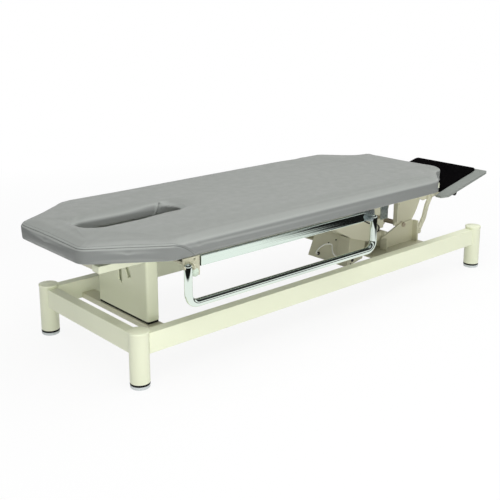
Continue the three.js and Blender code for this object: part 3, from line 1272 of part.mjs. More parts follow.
// Arms: two hooked plates, tied by the tube under the foot plate
function footArms(name) {
  const way = new THREE.Vector2(LINK_FOOT_X, -LINK_FOOT_DROP).normalize();
  const over = new THREE.Vector2(-way.y, way.x);
  const at = (r, w) => [HINGE[0] + r * way.x + w * over.x, HINGE[1] + r * way.y + w * over.y];
  const span = Math.hypot(LINK_FOOT_X, LINK_FOOT_DROP);
  const under = (x) => STEP_OUTER_Z - STEP_THICKNESS / Math.cos(STEP_ANGLE) - GAP
    - (STEP_OUTER_X - x) * Math.tan(STEP_ANGLE);
  const tip = HINGE[0] + ARM_END_REACH;
  const tube = [HINGE[0] + CROSS_TUBE_REACH, under(HINGE[0] + CROSS_TUBE_REACH) - CROSS_TUBE_DROP];
  const bendX = STEP_OUTER_X - STEP_STRAIGHT * Math.cos(STEP_ANGLE) + STEP_BEND;
  const drop = CROSS_TUBE_DIAMETER / 2 + ARM_HUB_RADIUS / 4;
  const profile = [
    at(ARM_HUB_RADIUS, 0),
    at(span * 0.34, -ARM_HOOK_CLEARANCE),
    at(span * 0.66, -ARM_HOOK_CLEARANCE),
    at(span - ARM_HUB_RADIUS / 2, ARM_HUB_RADIUS * 0.8),
    [LINK_HEAD[0] + ARM_HUB_RADIUS, LINK_HEAD[1]],
    [bendX, under(bendX) - ARM_DEPTH / 2],
    [bendX, under(bendX)],
    [tip, under(tip)],
    [tip, under(tip) - ARM_DEPTH],
    [tube[0] + drop, tube[1] - drop],
    [tube[0] - drop, tube[1] - drop],
    [LINK_HEAD[0], LINK_HEAD[1] - ARM_HUB_RADIUS],
    at(span * 0.7, -ARM_HOOK_DEPTH),
    at(span * 0.36, -ARM_HOOK_DEPTH),
    at(0, -ARM_HUB_RADIUS),
  ];
  const inner = ARM_Y;
  const outer = ARM_Y + BRACKET_THICKNESS;
  const plate = join(
    sheetXZ(profile.toReversed(), inner, outer),
    rodY(ARM_HUB_RADIUS, inner, outer, HINGE[0], HINGE[1], ROUND),
    rodY(
      STUD_DIAMETER / 2, inner, LINK_Y + LINK_THICKNESS + LINK_PLAY, LINK_HEAD[0], LINK_HEAD[1]),
    rodY(
      STUD_HEAD_DIAMETER / 2, LINK_Y + LINK_THICKNESS + GAP, LINK_Y + LINK_THICKNESS + STUD_HEAD_HEIGHT,
      LINK_HEAD[0], LINK_HEAD[1]),
  );
  const hole = rodY(
    STUD_DIAMETER / 2 + HOLE_CLEARANCE, inner - OVERRUN, outer + OVERRUN, HINGE[0], HINGE[1]);
  const half = cut(plate, hole);
  const rod = rodY(CROSS_TUBE_DIAMETER / 2, -CROSS_TUBE_HALF, CROSS_TUBE_HALF, tube[0], tube[1], ROUND);
  const bore = rodY(
    CROSS_TUBE_DIAMETER / 2 - CROSS_TUBE_WALL, -CROSS_TUBE_HALF - OVERRUN, CROSS_TUBE_HALF + OVERRUN,
    tube[0], tube[1]);
  const whole = cut(join(half, mirrored(half), rod), bore);
  return { whole, tube };
}

function footCap(name, side) {
  const { tube } = footArms("");
  const radius = CROSS_TUBE_DIAMETER / 2;
  const face = CROSS_TUBE_HALF + GAP;
  const spigot = radius - CROSS_TUBE_WALL - GAP;
  const whole = join(
    rodY(radius, face, face + END_CAP_LENGTH, tube[0], tube[1], ROUND),
    rodY(spigot * CAP_FIT_SHARE, face - END_CAP_SPIGOT, face + GAP, tube[0], tube[1]));
  return piece(name, side > 0 ? whole : mirrored(whole), BLACK());
}

// Leads: routes as points in millimetres from the drive pivot (x, y, z)
const WHITE_ROUTE = [
  [129, 53.3, -213], [120, 53.3, -213], [109, 50, -208], [101, 38, -192], [104, 20, -172],
  [112, -2, -158], [120, -22, -158], [111, -33, -168], [103, -45, -182], [104, -57, -192],
  [113, -62, -195], [122.5, -62, -195],
];
const DARK_ROUTE = [
  [184, -112.8, -53], [184, -118, -53], [198, -121, -58], [225, -121, -71], [248, -121, -77],
  [266, -121, -82], [282, -121, -94], [283, -121, -106], [276, -121, -113], [268, -120, -110],
  [268, -118, -104], [268, -112.8, -104],
];

function lead(name, route, material) {
  const points = route.map(([x, y, z]) => new THREE.Vector3(DRIVE_PIVOT[0] + x, y, DRIVE_PIVOT[1] + z));
  const smooth = new THREE.CatmullRomCurve3(points);
  const knots = smooth.getSpacedPoints(route.length * 2);
  const ends = [
    points[1].clone().sub(points[0]).normalize(),
    points.at(-1).clone().sub(points.at(-2)).normalize(),
  ];
  return piece(name, swept(knots, LEAD_DIAMETER / 2, LEAD_SIDES, ends), material);
}

const table = new THREE.Group();
[["head", -1], ["foot", 1]].forEach(([end, alongX]) => {
  [["near", -1], ["far", 1]].forEach(([flank, side]) => {
    const x = alongX * LEG_X;
    const y = side * LEG_Y;
    table.add(
      leg(`leg_${end}_${flank}`, x, y),
      legPlug(`leg_plug_${end}_${flank}`, x, y),
      foot(`foot_${end}_${flank}`, x, y),
      railMount(`rail_mount_${end}_${flank}`, side, alongX));
  });
});
[["near", -1], ["far", 1]].forEach(([flank, side]) => {
  table.add(
    sideRail(`base_rail_${flank}`, side),
    pedestalRest(`pedestal_rest_${flank}`, side),
    pivotBracket(`pivot_bracket_${flank}`, side),
    pivotLug(`pivot_lug_${flank}`, side),
    frameRail(`frame_rail_${flank}`, side),
    chromeRail(`side_rail_${flank}`, side),
    grabBar(`grab_bar_${flank}`, side),
    knob(`knob_${flank}`, side),
    linkBar(`link_${flank}`, side),
    footCap(`foot_cap_${flank}`, side));
});
const FRAME_HEAD_X = CUSHION_HEAD_X + FRAME_HEAD_INSET;
const FOOT_MEMBER_X = PIVOT_X - FOOT_MEMBER_SETBACK;
table.add(
  headRail("base_rail_head"),
  crossBeam("base_beam"),
  crossPlate("base_plate"),
  pedestal("pedestal"),
  pedestalPad("pedestal_pad"),
  bracketWeb("bracket_web"),
  pivotShaft("pivot_shaft"),
  frameMember(
    "frame_member_head", FRAME_HEAD_X + HEAD_MEMBER_SETBACK, FRAME_HEAD_X + HEAD_MEMBER_SETBACK + HEAD_MEMBER_WIDTH,
    FRAME_BOTTOM + HEAD_MEMBER_RISE, FRAME_TOP, FRAME_WALL),
  frameMember(
    "frame_rest_strip", PEDESTAL_X - REST_STRIP_WIDTH / 2, PEDESTAL_X + REST_STRIP_WIDTH / 2,
    FRAME_BOTTOM, FRAME_BOTTOM + REST_STRIP_THICKNESS, 0),
  frameMember(
    "frame_member_foot", FOOT_MEMBER_X, FOOT_MEMBER_X + FOOT_MEMBER_WIDTH, FRAME_BOTTOM, FRAME_TOP, FRAME_WALL),
  deckBoard("deck_board"),
  cushion("cushion"),
  driveCradle("drive_cradle"),
  zincAngle("zinc_angle"),
  driveHousing("drive_housing"),
  driveMotor("drive_motor"),
  actuatorTube("actuator_tube"),
  pushRod("push_rod"),
  hingePin("foot_hinge_pin"),
  footPlate("foot_plate"),
  footMat("foot_mat"),
  piece("foot_arms", footArms("foot_arms").whole, BEIGE_SHADE()),
  lead("lead_white", WHITE_ROUTE, paint(0xe4e6e0, 0.6, 0)),
  lead("lead_dark", DARK_ROUTE, BLACK()));

const model = new THREE.Group();
table.position.set(-ORIGIN_X, 0, 0);
model.add(table);

export default model;
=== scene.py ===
"""Electric treatment table: materials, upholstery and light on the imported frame.

Metres, +Z up, +X to the foot end, -Y the side that faces the camera.
"""

import json
import math

import bmesh
import bpy
import numpy as np
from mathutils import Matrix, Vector
from mathutils.bvhtree import BVHTree


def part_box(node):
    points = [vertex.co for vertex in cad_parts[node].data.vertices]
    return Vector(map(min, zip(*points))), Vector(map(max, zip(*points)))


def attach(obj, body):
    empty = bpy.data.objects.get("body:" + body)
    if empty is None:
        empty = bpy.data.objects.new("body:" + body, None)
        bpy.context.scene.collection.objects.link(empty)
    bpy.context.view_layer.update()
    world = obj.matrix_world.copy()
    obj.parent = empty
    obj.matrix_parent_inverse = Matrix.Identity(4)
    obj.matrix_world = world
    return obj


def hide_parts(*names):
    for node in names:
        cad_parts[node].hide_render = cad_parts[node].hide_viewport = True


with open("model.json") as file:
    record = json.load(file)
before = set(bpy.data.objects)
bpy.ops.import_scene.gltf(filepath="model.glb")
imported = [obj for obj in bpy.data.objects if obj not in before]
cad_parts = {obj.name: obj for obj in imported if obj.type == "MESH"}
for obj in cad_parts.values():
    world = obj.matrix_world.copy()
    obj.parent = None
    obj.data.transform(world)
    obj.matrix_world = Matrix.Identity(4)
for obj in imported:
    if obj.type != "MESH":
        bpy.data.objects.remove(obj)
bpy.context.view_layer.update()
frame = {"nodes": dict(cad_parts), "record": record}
NODES = frame["nodes"]
BODY = {n: b for b, names in frame["record"]["behaviour"]["bodies"].items() for n in names}
OFFSET = 0.024497  # metres from the base's middle to the shared frame's origin, to the foot end


def place(x, y, z):
    """A point in the shared frame, given in millimetres from the base's middle."""
    return Vector((x / 1000 - OFFSET, y / 1000, z / 1000))


# Camera, fitted to the photographed view
CAMERA_AT = (-2.13065, -2.18979, 1.14298)
CAMERA_WAY = (0.644431, 0.727868, -0.234345)
CAMERA_LENS = 61.153
CAMERA_SHIFT = -0.12


def make_camera():
    data = bpy.data.cameras.new("camera")
    cam = bpy.data.objects.new("camera", data)
    bpy.context.scene.collection.objects.link(cam)
    cam.location = CAMERA_AT
    cam.rotation_mode = "QUATERNION"
    cam.rotation_quaternion = Vector(CAMERA_WAY).to_track_quat("-Z", "Y")
    data.sensor_width = 36
    data.lens = CAMERA_LENS
    data.shift_y = CAMERA_SHIFT
    data.clip_start, data.clip_end = 0.05, 60
    bpy.context.scene.camera = cam


# Shader nodes
def link(tree, a, b):
    tree.links.new(a, b)


def maths(tree, operation, *values):
    """A math node on sockets or plain numbers."""
    node = tree.nodes.new("ShaderNodeMath")
    node.operation = operation
    for k, value in enumerate(values):
        if isinstance(value, float):
            node.inputs[k].default_value = value
        else:
            link(tree, value, node.inputs[k])
    return node.outputs[0]


def ranged(tree, value, low, high, to_low, to_high):
    """The value, taken from low..high to to_low..to_high and held at the ends."""
    node = tree.nodes.new("ShaderNodeMapRange")
    for key, number in (("From Min", low), ("From Max", high), ("To Min", to_low), ("To Max", to_high)):
        node.inputs[key].default_value = number
    link(tree, value, node.inputs["Value"])
    return node.outputs[0]


def mixed(tree, share, first, second):
    """A mix of two shaders."""
    node = tree.nodes.new("ShaderNodeMixShader")
    for k, value in enumerate((share, first, second)):
        link(tree, value, node.inputs[k])
    return node.outputs[0]


# Light: place, target, size in metres and power in watts of each softbox
SOFTBOXES = {
    "softbox_top": ((0.1, -0.8, 3.0), (0.1, -0.75, 0), (5.0, 4.0), 116),
    "softbox_side": ((-1.9, -3.3, 0.9), (0, 0, 0.2), (3.0, 1.2), 48),
}
FILL = 0.32
# What a polished face sees above the horizon: height of the direction, grey level
STUDIO_BANDS = ((0.07, 1.0), (0.3, 1.0), (0.38, 0.03), (0.74, 0.03))
STUDIO_HORIZON = (0.03, (0.03, 0.03, 0.03, 1))
STUDIO_ZENITH = (1.0, (0.6, 0.61, 0.62, 1))


def area_light(name, at, towards, size, power):
    data = bpy.data.lights.new(name, "AREA")
    data.shape = "RECTANGLE"
    data.size, data.size_y = size
    data.energy = power
    lamp = bpy.data.objects.new(name, data)
    bpy.context.scene.collection.objects.link(lamp)
    lamp.location = at
    lamp.visible_glossy = False
    lamp.rotation_mode = "QUATERNION"
    lamp.rotation_quaternion = (Vector(towards) - Vector(at)).to_track_quat("-Z", "Y")


def make_light():
    """Two softboxes, an even fill, white behind the object and dark bands for polished faces."""
    for name, row in SOFTBOXES.items():
        area_light(name, *row)
    world = bpy.data.worlds.new("studio")
    bpy.context.scene.world = world
    world.use_nodes = True
    tree = world.node_tree
    tree.nodes.clear()
    out = tree.nodes.new("ShaderNodeOutputWorld")
    fill = tree.nodes.new("ShaderNodeBackground")
    fill.inputs["Color"].default_value = (1, 1, 1, 1)
    fill.inputs["Strength"].default_value = FILL
    shown = tree.nodes.new("ShaderNodeBackground")
    shown.inputs["Strength"].default_value = 1
    rays = tree.nodes.new("ShaderNodeLightPath").outputs
    parts = tree.nodes.new("ShaderNodeSeparateXYZ")
    link(tree, tree.nodes.new("ShaderNodeTexCoord").outputs["Generated"], parts.inputs[0])
    ramp = tree.nodes.new("ShaderNodeValToRGB")
    for k, (position, colour) in enumerate((STUDIO_HORIZON, STUDIO_ZENITH)):
        ramp.color_ramp.elements[k].position = position
        ramp.color_ramp.elements[k].color = colour
    for position, level in STUDIO_BANDS:
        ramp.color_ramp.elements.new(position).color = (level, level, level, 1)
    link(tree, parts.outputs["Z"], ramp.inputs[0])
    pick = tree.nodes.new("ShaderNodeMixRGB")
    pick.inputs["Color2"].default_value = (1, 1, 1, 1)
    link(tree, rays["Is Camera Ray"], pick.inputs["Fac"])
    link(tree, ramp.outputs["Color"], pick.inputs["Color1"])
    link(tree, pick.outputs["Color"], shown.inputs["Color"])
    either = maths(tree, "MAXIMUM", rays["Is Camera Ray"], rays["Is Glossy Ray"])
    clear = maths(tree, "MAXIMUM", either, rays["Is Transmission Ray"])
    link(tree, mixed(tree, clear, fill.outputs[0], shown.outputs[0]), out.inputs[0])


# Floor
FLOOR_HALF = 9.0
FLOOR_CUTS = 24
FLOOR_DROP = 0.0004
FLOOR_GREY = 0.86
PAPER_CENTRE = (0.3, 0.0, 0)  # added to a floor point before its distance is taken
PAPER_EDGE = (1.42, 1.58, 1.0, 0.01)  # where the paper's glow ends for polished faces
SHADOW_FADE = (1.4, 2.8, 0.9, 1.0)  # the glow's share in the camera's view, by distance


def make_floor():
    """White paper that keeps the object's shadow and gives polished faces an edge to show."""
    bm = bmesh.new()
    bmesh.ops.create_grid(bm, x_segments=FLOOR_CUTS, y_segments=FLOOR_CUTS, size=FLOOR_HALF)
    mesh = bpy.data.meshes.new("floor")
    bm.to_mesh(mesh)
    bm.free()
    floor = bpy.data.objects.new("floor", mesh)
    bpy.context.scene.collection.objects.link(floor)
    floor.location = (0, 0, -FLOOR_DROP)
    mat = bpy.data.materials.new("floor_paper")
    mat.use_nodes = True
    tree = mat.node_tree
    base = tree.nodes["Principled BSDF"]
    base.inputs["Base Color"].default_value = (FLOOR_GREY, FLOOR_GREY, FLOOR_GREY, 1)
    base.inputs["Roughness"].default_value = 0.9
    base.inputs["Specular IOR Level"].default_value = 0.1
    rays = tree.nodes.new("ShaderNodeLightPath").outputs
    glow = tree.nodes.new("ShaderNodeEmission")
    glow.inputs["Color"].default_value = (1, 1, 1, 1)
    about = tree.nodes.new("ShaderNodeMapping")
    about.inputs["Location"].default_value = PAPER_CENTRE
    link(tree, tree.nodes.new("ShaderNodeTexCoord").outputs["Object"], about.inputs["Vector"])
    away = tree.nodes.new("ShaderNodeVectorMath")
    away.operation = "LENGTH"
    link(tree, about.outputs[0], away.inputs[0])
    far = away.outputs["Value"]
    bright = maths(tree, "MAXIMUM", ranged(tree, far, *PAPER_EDGE), rays["Is Camera Ray"])
    link(tree, bright, glow.inputs["Strength"])
    seen = maths(tree, "MULTIPLY", rays["Is Camera Ray"], ranged(tree, far, *SHADOW_FADE))
    share = maths(tree, "MAXIMUM", seen, rays["Is Glossy Ray"])
    lit = mixed(tree, share, base.outputs[0], glow.outputs[0])
    link(tree, lit, tree.nodes["Material Output"].inputs["Surface"])
    mesh.materials.append(mat)


# Materials
def srgb(r, g, b):
    def one(v):
        v /= 255
        return v / 12.92 if v <= 0.04045 else ((v + 0.055) / 1.055) ** 2.4
    return (one(r), one(g), one(b), 1)


class Surface:
    """A Principled material with layered procedural variation in object coordinates."""

    def __init__(self, name, colour, roughness, metallic=0.0, specular=0.5):
        self.mat = bpy.data.materials.new(name)
        self.mat.use_nodes = True
        self.tree = self.mat.node_tree
        self.bsdf = self.tree.nodes["Principled BSDF"]
        self.bsdf.inputs["Metallic"].default_value = metallic
        self.bsdf.inputs["Specular IOR Level"].default_value = specular
        self.bsdf.inputs["Roughness"].default_value = roughness
        self.bsdf.inputs["Base Color"].default_value = colour
        self.coords = self.tree.nodes.new("ShaderNodeTexCoord").outputs["Object"]
        self.colour = None
        self.height = None
        self.base = colour

    def texture(self, kind, stretch=None, **inputs):
        """A texture node in object coordinates, stretched by a factor per axis."""
        node = self.tree.nodes.new(kind)
        for key, number in inputs.items():
            node.inputs[key].default_value = number
        coords = self.coords
        if stretch:
            scaled = self.tree.nodes.new("ShaderNodeMapping")
            scaled.inputs["Scale"].default_value = stretch
            link(self.tree, coords, scaled.inputs["Vector"])
            coords = scaled.outputs[0]
        link(self.tree, coords, node.inputs["Vector"])
        return node

    def noise(self, scale, detail, rough=0.5, stretch=None):
        node = self.texture("ShaderNodeTexNoise", stretch, Scale=scale, Detail=detail, Roughness=rough)
        return node.outputs["Fac"]

    def cells(self, scale):
        return self.texture("ShaderNodeTexVoronoi", Scale=scale).outputs["Distance"]

    def wave(self, scale, direction, distortion=0.0, stretch=None):
        node = self.texture("ShaderNodeTexWave", stretch, Scale=scale, Distortion=distortion, Detail=2)
        node.bands_direction = direction
        return node.outputs["Fac"]

    def leaning(self):
        """0 on a face that looks straight up in its piece, 1 on an upright face."""
        parts = self.tree.nodes.new("ShaderNodeSeparateXYZ")
        normal = self.tree.nodes.new("ShaderNodeTexCoord").outputs["Normal"]
        link(self.tree, normal, parts.inputs[0])
        return maths(self.tree, "SUBTRACT", 1.0, maths(self.tree, "ABSOLUTE", parts.outputs["Z"]))

    def tint(self, mask, colour, low, high, most):
        """Mixes a second colour in where the mask rises from low to high."""
        mix = self.tree.nodes.new("ShaderNodeMixRGB")
        link(self.tree, ranged(self.tree, mask, low, high, 0, most), mix.inputs["Fac"])
        if self.colour is None:
            mix.inputs["Color1"].default_value = self.base
        else:
            link(self.tree, self.colour, mix.inputs["Color1"])
        mix.inputs["Color2"].default_value = colour
        self.colour = mix.outputs[0]
        link(self.tree, self.colour, self.bsdf.inputs["Base Color"])

    def rough(self, mask, low, high):
        """Roughness from low to high over the middle of the mask's range."""
        link(self.tree, ranged(self.tree, mask, 0.3, 0.7, low, high), self.bsdf.inputs["Roughness"])

    def bump(self, mask, depth, strength):
        """Relief of a depth in metres, on top of the relief that is there."""
        node = self.tree.nodes.new("ShaderNodeBump")
        node.inputs["Distance"].default_value = depth
        node.inputs["Strength"].default_value = strength
        link(self.tree, mask, node.inputs["Height"])
        if self.height is not None:
            link(self.tree, self.height, node.inputs["Normal"])
        self.height = node.outputs[0]
        link(self.tree, self.height, self.bsdf.inputs["Normal"])

    def worn(self, colour):
        """Edges lightened where a hand or a boot has rubbed them."""
        geo = self.tree.nodes.new("ShaderNodeNewGeometry")
        self.tint(geo.outputs["Pointiness"], colour, 0.53, 0.6, 0.35)


def powder_coat(name, colour, light, dark):
    """Sprayed paint with broad patches, fine grain and rubbed edges."""
    s = Surface(name, colour, 0.4, specular=0.45)
    s.tint(s.noise(3.2, 4), light, 0.45, 0.75, 0.5)
    s.tint(s.noise(1.7, 5, stretch=(1, 1, 2.5)), dark, 0.5, 0.8, 0.35)
    s.tint(s.noise(420, 2), dark, 0.55, 0.8, 0.12)
    s.rough(s.noise(24, 4), 0.34, 0.48)
    s.bump(s.noise(700, 2, 0.6), 0.00012, 0.5)
    s.bump(s.noise(90, 2), 0.0003, 0.15)
    s.worn(light)
    return s.mat


def make_materials():
    """Every surface, by the short name that the pieces use."""
    m = {}
    m["beige_paint"] = powder_coat(
        "beige_powder_coat", srgb(234, 238, 211), srgb(241, 245, 219), srgb(222, 226, 197))
    # A darker copy of the same beige paint: painted shade for the brackets, beams, links and drive
    # parts below the top.
    m["beige_paint_shade"] = powder_coat(
        "beige_coat_painted_shade", srgb(219, 217, 193), srgb(228, 227, 204), srgb(204, 202, 178))
    # A still darker copy of the same beige paint: deeper painted shade for the base plate, head rail
    # mount and drive motor.
    m["beige_paint_deep_painted_shade"] = powder_coat(
        "beige_coat_deep_painted_shade", srgb(193, 191, 167), srgb(203, 202, 178), srgb(180, 177, 153))

    s = Surface("chrome_plate", srgb(226, 237, 228), 0.03, 1.0)
    s.tint(s.noise(5, 4), srgb(196, 206, 202), 0.5, 0.8, 0.5)
    s.rough(s.noise(60, 5, stretch=(0.4, 6, 6)), 0.015, 0.04)
    s.bump(s.noise(380, 2, stretch=(0.15, 4, 4)), 0.00003, 0.12)
    m["chrome"] = s.mat

    s = Surface("drawn_chrome", srgb(226, 240, 230), 0.09, 1.0)
    s.tint(s.noise(5, 4), srgb(212, 226, 216), 0.5, 0.8, 0.4)
    s.rough(s.noise(30, 4, stretch=(0.05, 1, 9)), 0.03, 0.08)
    s.bump(s.noise(36, 3, stretch=(0.02, 1, 6)), 0.0006, 0.22)
    m["drawn_chrome"] = s.mat

    s = Surface("zinc_plate", srgb(190, 200, 200), 0.3, 1.0)
    s.tint(s.cells(130), srgb(160, 172, 176), 0.2, 0.7, 0.6)
    s.tint(s.noise(22, 4), srgb(206, 206, 190), 0.5, 0.8, 0.4)
    s.rough(s.noise(140, 3), 0.24, 0.42)
    s.bump(s.noise(500, 2), 0.00008, 0.4)
    m["zinc"] = s.mat

    s = Surface("turned_steel", srgb(168, 172, 172), 0.28, 1.0)
    s.tint(s.noise(30, 4), srgb(140, 142, 140), 0.45, 0.8, 0.6)
    s.rough(s.noise(260, 3, stretch=(4, 0.3, 4)), 0.2, 0.38)
    s.bump(s.wave(900, "Y"), 0.00003, 0.4)
    m["steel"] = s.mat

    s = Surface("rod_sleeve", srgb(207, 195, 180), 0.38, 0.85)
    s.tint(s.noise(26, 4), srgb(176, 162, 146), 0.45, 0.75, 0.6)
    s.rough(s.noise(200, 3), 0.3, 0.46)
    s.bump(s.noise(600, 2), 0.00006, 0.4)
    m["rod_cover"] = s.mat

    s = Surface("black_rubber", srgb(20, 18, 19), 0.7, specular=0.2)
    s.tint(s.noise(9, 5), srgb(28, 26, 27), 0.45, 0.75, 0.6)
    s.rough(s.noise(60, 4), 0.6, 0.82)
    s.bump(s.noise(900, 3), 0.0002, 0.5)
    m["black_rubber"] = s.mat

    s = Surface("ribbed_mat", srgb(6, 5, 6), 0.9, specular=0.01)
    s.tint(s.noise(7, 5), srgb(10, 8, 9), 0.45, 0.8, 0.6)
    s.rough(s.noise(70, 4), 0.6, 0.85)
    s.bump(s.wave(120, "Y"), 0.0005, 0.4)
    s.bump(s.noise(1100, 2), 0.0001, 0.5)
    m["mat"] = s.mat

    s = Surface("black_plastic", srgb(24, 24, 25), 0.42, specular=0.45)
    s.tint(s.noise(20, 4), srgb(38, 38, 39), 0.5, 0.8, 0.5)
    s.rough(s.noise(120, 3), 0.36, 0.55)
    s.bump(s.noise(800, 2), 0.0001, 0.4)
    m["black_plastic"] = s.mat

    # A near-black board: in part a dark facing, in part painted shade for the underside, so that its
    # edge under the cushion reads as a shadow line and the bars reflect it dark.
    s = Surface("faced_board_painted_shade", srgb(44, 42, 40), 0.62, specular=0.3)
    s.tint(s.wave(9, "Y", 6.0, (0.25, 1, 1)), srgb(36, 34, 32), 0.3, 0.9, 0.7)
    s.tint(s.wave(240, "Z"), srgb(60, 54, 46), 0.55, 0.95, 0.5)
    s.rough(s.noise(60, 4), 0.52, 0.74)
    s.bump(s.noise(240, 3, stretch=(0.1, 1, 1)), 0.0003, 0.5)
    m["deck_wood"] = s.mat

    s = Surface("grey_skin", srgb(140, 145, 140), 0.46, specular=0.45)
    s.tint(s.noise(6, 4), srgb(149, 154, 149), 0.45, 0.75, 0.5)
    s.tint(s.noise(300, 3), srgb(124, 129, 125), 0.5, 0.8, 0.3)
    s.rough(s.noise(50, 4), 0.4, 0.56)
    s.bump(s.cells(900), 0.00012, 0.5)
    s.worn(srgb(158, 163, 158))
    m["foot_plate_grey"] = s.mat

    s = Surface("pale_plastic", srgb(205, 220, 204), 0.36, specular=0.5)
    s.tint(s.noise(40, 4), srgb(188, 197, 176), 0.45, 0.8, 0.5)
    s.rough(s.noise(90, 3), 0.3, 0.45)
    s.bump(s.noise(700, 2), 0.00008, 0.4)
    m["knob_pale"] = s.mat

    s = Surface("white_sheath", srgb(244, 245, 240), 0.5, specular=0.4)
    s.tint(s.noise(60, 4), srgb(226, 227, 219), 0.45, 0.8, 0.6)
    s.rough(s.noise(140, 3), 0.44, 0.6)
    s.bump(s.noise(900, 2), 0.0001, 0.4)
    m["lead_white"] = s.mat

    s = Surface("grey_vinyl", srgb(146, 149, 145), 0.45, specular=0.4)
    s.tint(s.noise(2.6, 5), srgb(150, 153, 149), 0.42, 0.7, 0.5)
    s.tint(s.noise(9, 5), srgb(140, 144, 140), 0.5, 0.8, 0.3)
    # Painted highlight: the vinyl is lighter on the leaning faces of the rounded upper edge.
    s.tint(s.leaning(), srgb(172, 176, 172), 0.03, 0.26, 0.7)
    # Painted shade: the vinyl is darker on upright faces, the sides of the cushion and the slot's
    # walls.
    s.tint(s.leaning(), srgb(128, 131, 129), 0.28, 0.8, 0.95)
    s.tint(s.cells(620), srgb(132, 136, 131), 0.25, 0.7, 0.22)
    s.rough(s.noise(34, 5), 0.4, 0.54)
    s.bump(s.cells(620), 0.00022, 0.5)
    s.bump(s.noise(1500, 2), 0.00006, 0.4)
    s.bump(s.noise(16, 3), 0.0012, 0.03)
    s.bsdf.inputs["Sheen Weight"].default_value = 0.05
    s.bsdf.inputs["Coat Weight"].default_value = 0.08
    s.bsdf.inputs["Coat Roughness"].default_value = 0.4
    m["cushion_vinyl"] = s.mat

    s = Surface("grey_thread", srgb(92, 95, 92), 0.7, specular=0.2)
    s.tint(s.noise(900, 2), srgb(112, 116, 112), 0.4, 0.7, 0.6)
    s.rough(s.noise(500, 2), 0.6, 0.8)
    s.bump(s.wave(1800, "DIAGONAL"), 0.0002, 0.6)
    m["thread"] = s.mat

    s = Surface("foot_disc", srgb(206, 212, 212), 0.35, 0.3)
    s.tint(s.noise(60, 4), srgb(180, 188, 190), 0.45, 0.8, 0.5)
    s.rough(s.noise(90, 3), 0.28, 0.45)
    s.bump(s.noise(500, 2), 0.0001, 0.4)
    m["foot_disc"] = s.mat
    return m


# Pieces
def finished(bm, name):
    """The mesh of a bmesh, with its faces turned outward."""
    bmesh.ops.recalc_face_normals(bm, faces=bm.faces)
    mesh = bpy.data.meshes.new(name)
    bm.to_mesh(mesh)
    bm.free()
    return mesh


def tube_faces(bm, rings):
    """Quads between rings of equal count, and a face on each end."""
    count = len(rings[0])
    for low, high in zip(rings, rings[1:]):
        for k in range(count):
            n = (k + 1) % count
            bm.faces.new((low[k], low[n], high[n], high[k]))
    bm.faces.new(list(reversed(rings[0])))
    bm.faces.new(rings[-1])


def add_object(name, mesh, body, material, smooth=0):
    """A piece that rides a body, sharp at edges over the angle in degrees where one is given."""
    piece = bpy.data.objects.new(name, mesh)
    bpy.context.scene.collection.objects.link(piece)
    mesh.materials.clear()
    mesh.materials.append(material)
    mesh.shade_smooth()
    if smooth:
        mesh.set_sharp_from_angle(angle=math.radians(smooth))
    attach(piece, body)
    return piece


def applied(piece):
    """Applies the piece's modifiers to its mesh."""
    graph = bpy.context.evaluated_depsgraph_get()
    graph.update()
    mesh = bpy.data.meshes.new_from_object(piece.evaluated_get(graph))
    old = piece.data
    piece.modifiers.clear()
    piece.data = mesh
    bpy.data.meshes.remove(old)


# Pieces with a flat face round two holes, which one joined face would close
UNJOINED = ("pedestal",)
WELD = 2e-6
FLAT = math.radians(0.6)
EASED_FROM = math.radians(38)  # edges sharper than this are rounded


def bare_copy(node, name):
    """A merged copy of a CAD node's mesh, with flat faces joined where they may be."""
    bm = bmesh.new()
    bm.from_mesh(NODES[node].data)
    bmesh.ops.remove_doubles(bm, verts=bm.verts, dist=WELD)
    if node not in UNJOINED:
        bmesh.ops.dissolve_limit(
            bm, angle_limit=FLAT, verts=bm.verts, edges=bm.edges, delimit=set())
    mesh = bpy.data.meshes.new(name)
    bm.to_mesh(mesh)
    bm.free()
    if "custom_normal" in mesh.attributes:
        mesh.attributes.remove(mesh.attributes["custom_normal"])
    return mesh


def eased(node, width, segments, material):
    """Stands for a CAD node with its edges rounded, as folded or moulded edges are."""
    mesh = bare_copy(node, node + "_eased")
    piece = add_object(node + "_eased", mesh, BODY[node], material)
    bevel = piece.modifiers.new("ease", "BEVEL")
    bevel.width = width
    bevel.segments = segments
    bevel.limit_method = "ANGLE"
    bevel.angle_limit = EASED_FROM
    bevel.use_clamp_overlap = True
    even = piece.modifiers.new("even", "WEIGHTED_NORMAL")
    even.mode = "FACE_AREA"
    even.weight = 90
    applied(piece)
    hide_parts(node)


def turned(node, profile, origin, sides, material):
    """Stands for a CAD node with a closed turned piece: (radius, height) pairs about the upright."""
    bm = bmesh.new()
    up = Vector((0, 0, 1))
    side = up.orthogonal().normalized()
    other = up.cross(side)
    rings = []
    for radius, height in profile:
        centre = origin + up * height
        if radius == 0:
            rings.append([bm.verts.new(centre)])
            continue
        ring = []
        for i in range(sides):
            a = 2 * math.pi * i / sides
            ring.append(bm.verts.new(centre + (side * math.cos(a) + other * math.sin(a)) * radius))
        rings.append(ring)
    for low, high in zip(rings, rings[1:]):
        for i in range(sides):
            j = (i + 1) % sides
            if len(low) == 1:
                bm.faces.new((low[0], high[i], high[j]))
            elif len(high) == 1:
                bm.faces.new((low[i], high[0], low[j]))
            else:
                bm.faces.new((low[i], high[i], high[j], low[j]))
    name = node + "_turned"
    piece = add_object(name, finished(bm, name), BODY[node], material, smooth=40)
    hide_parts(node)


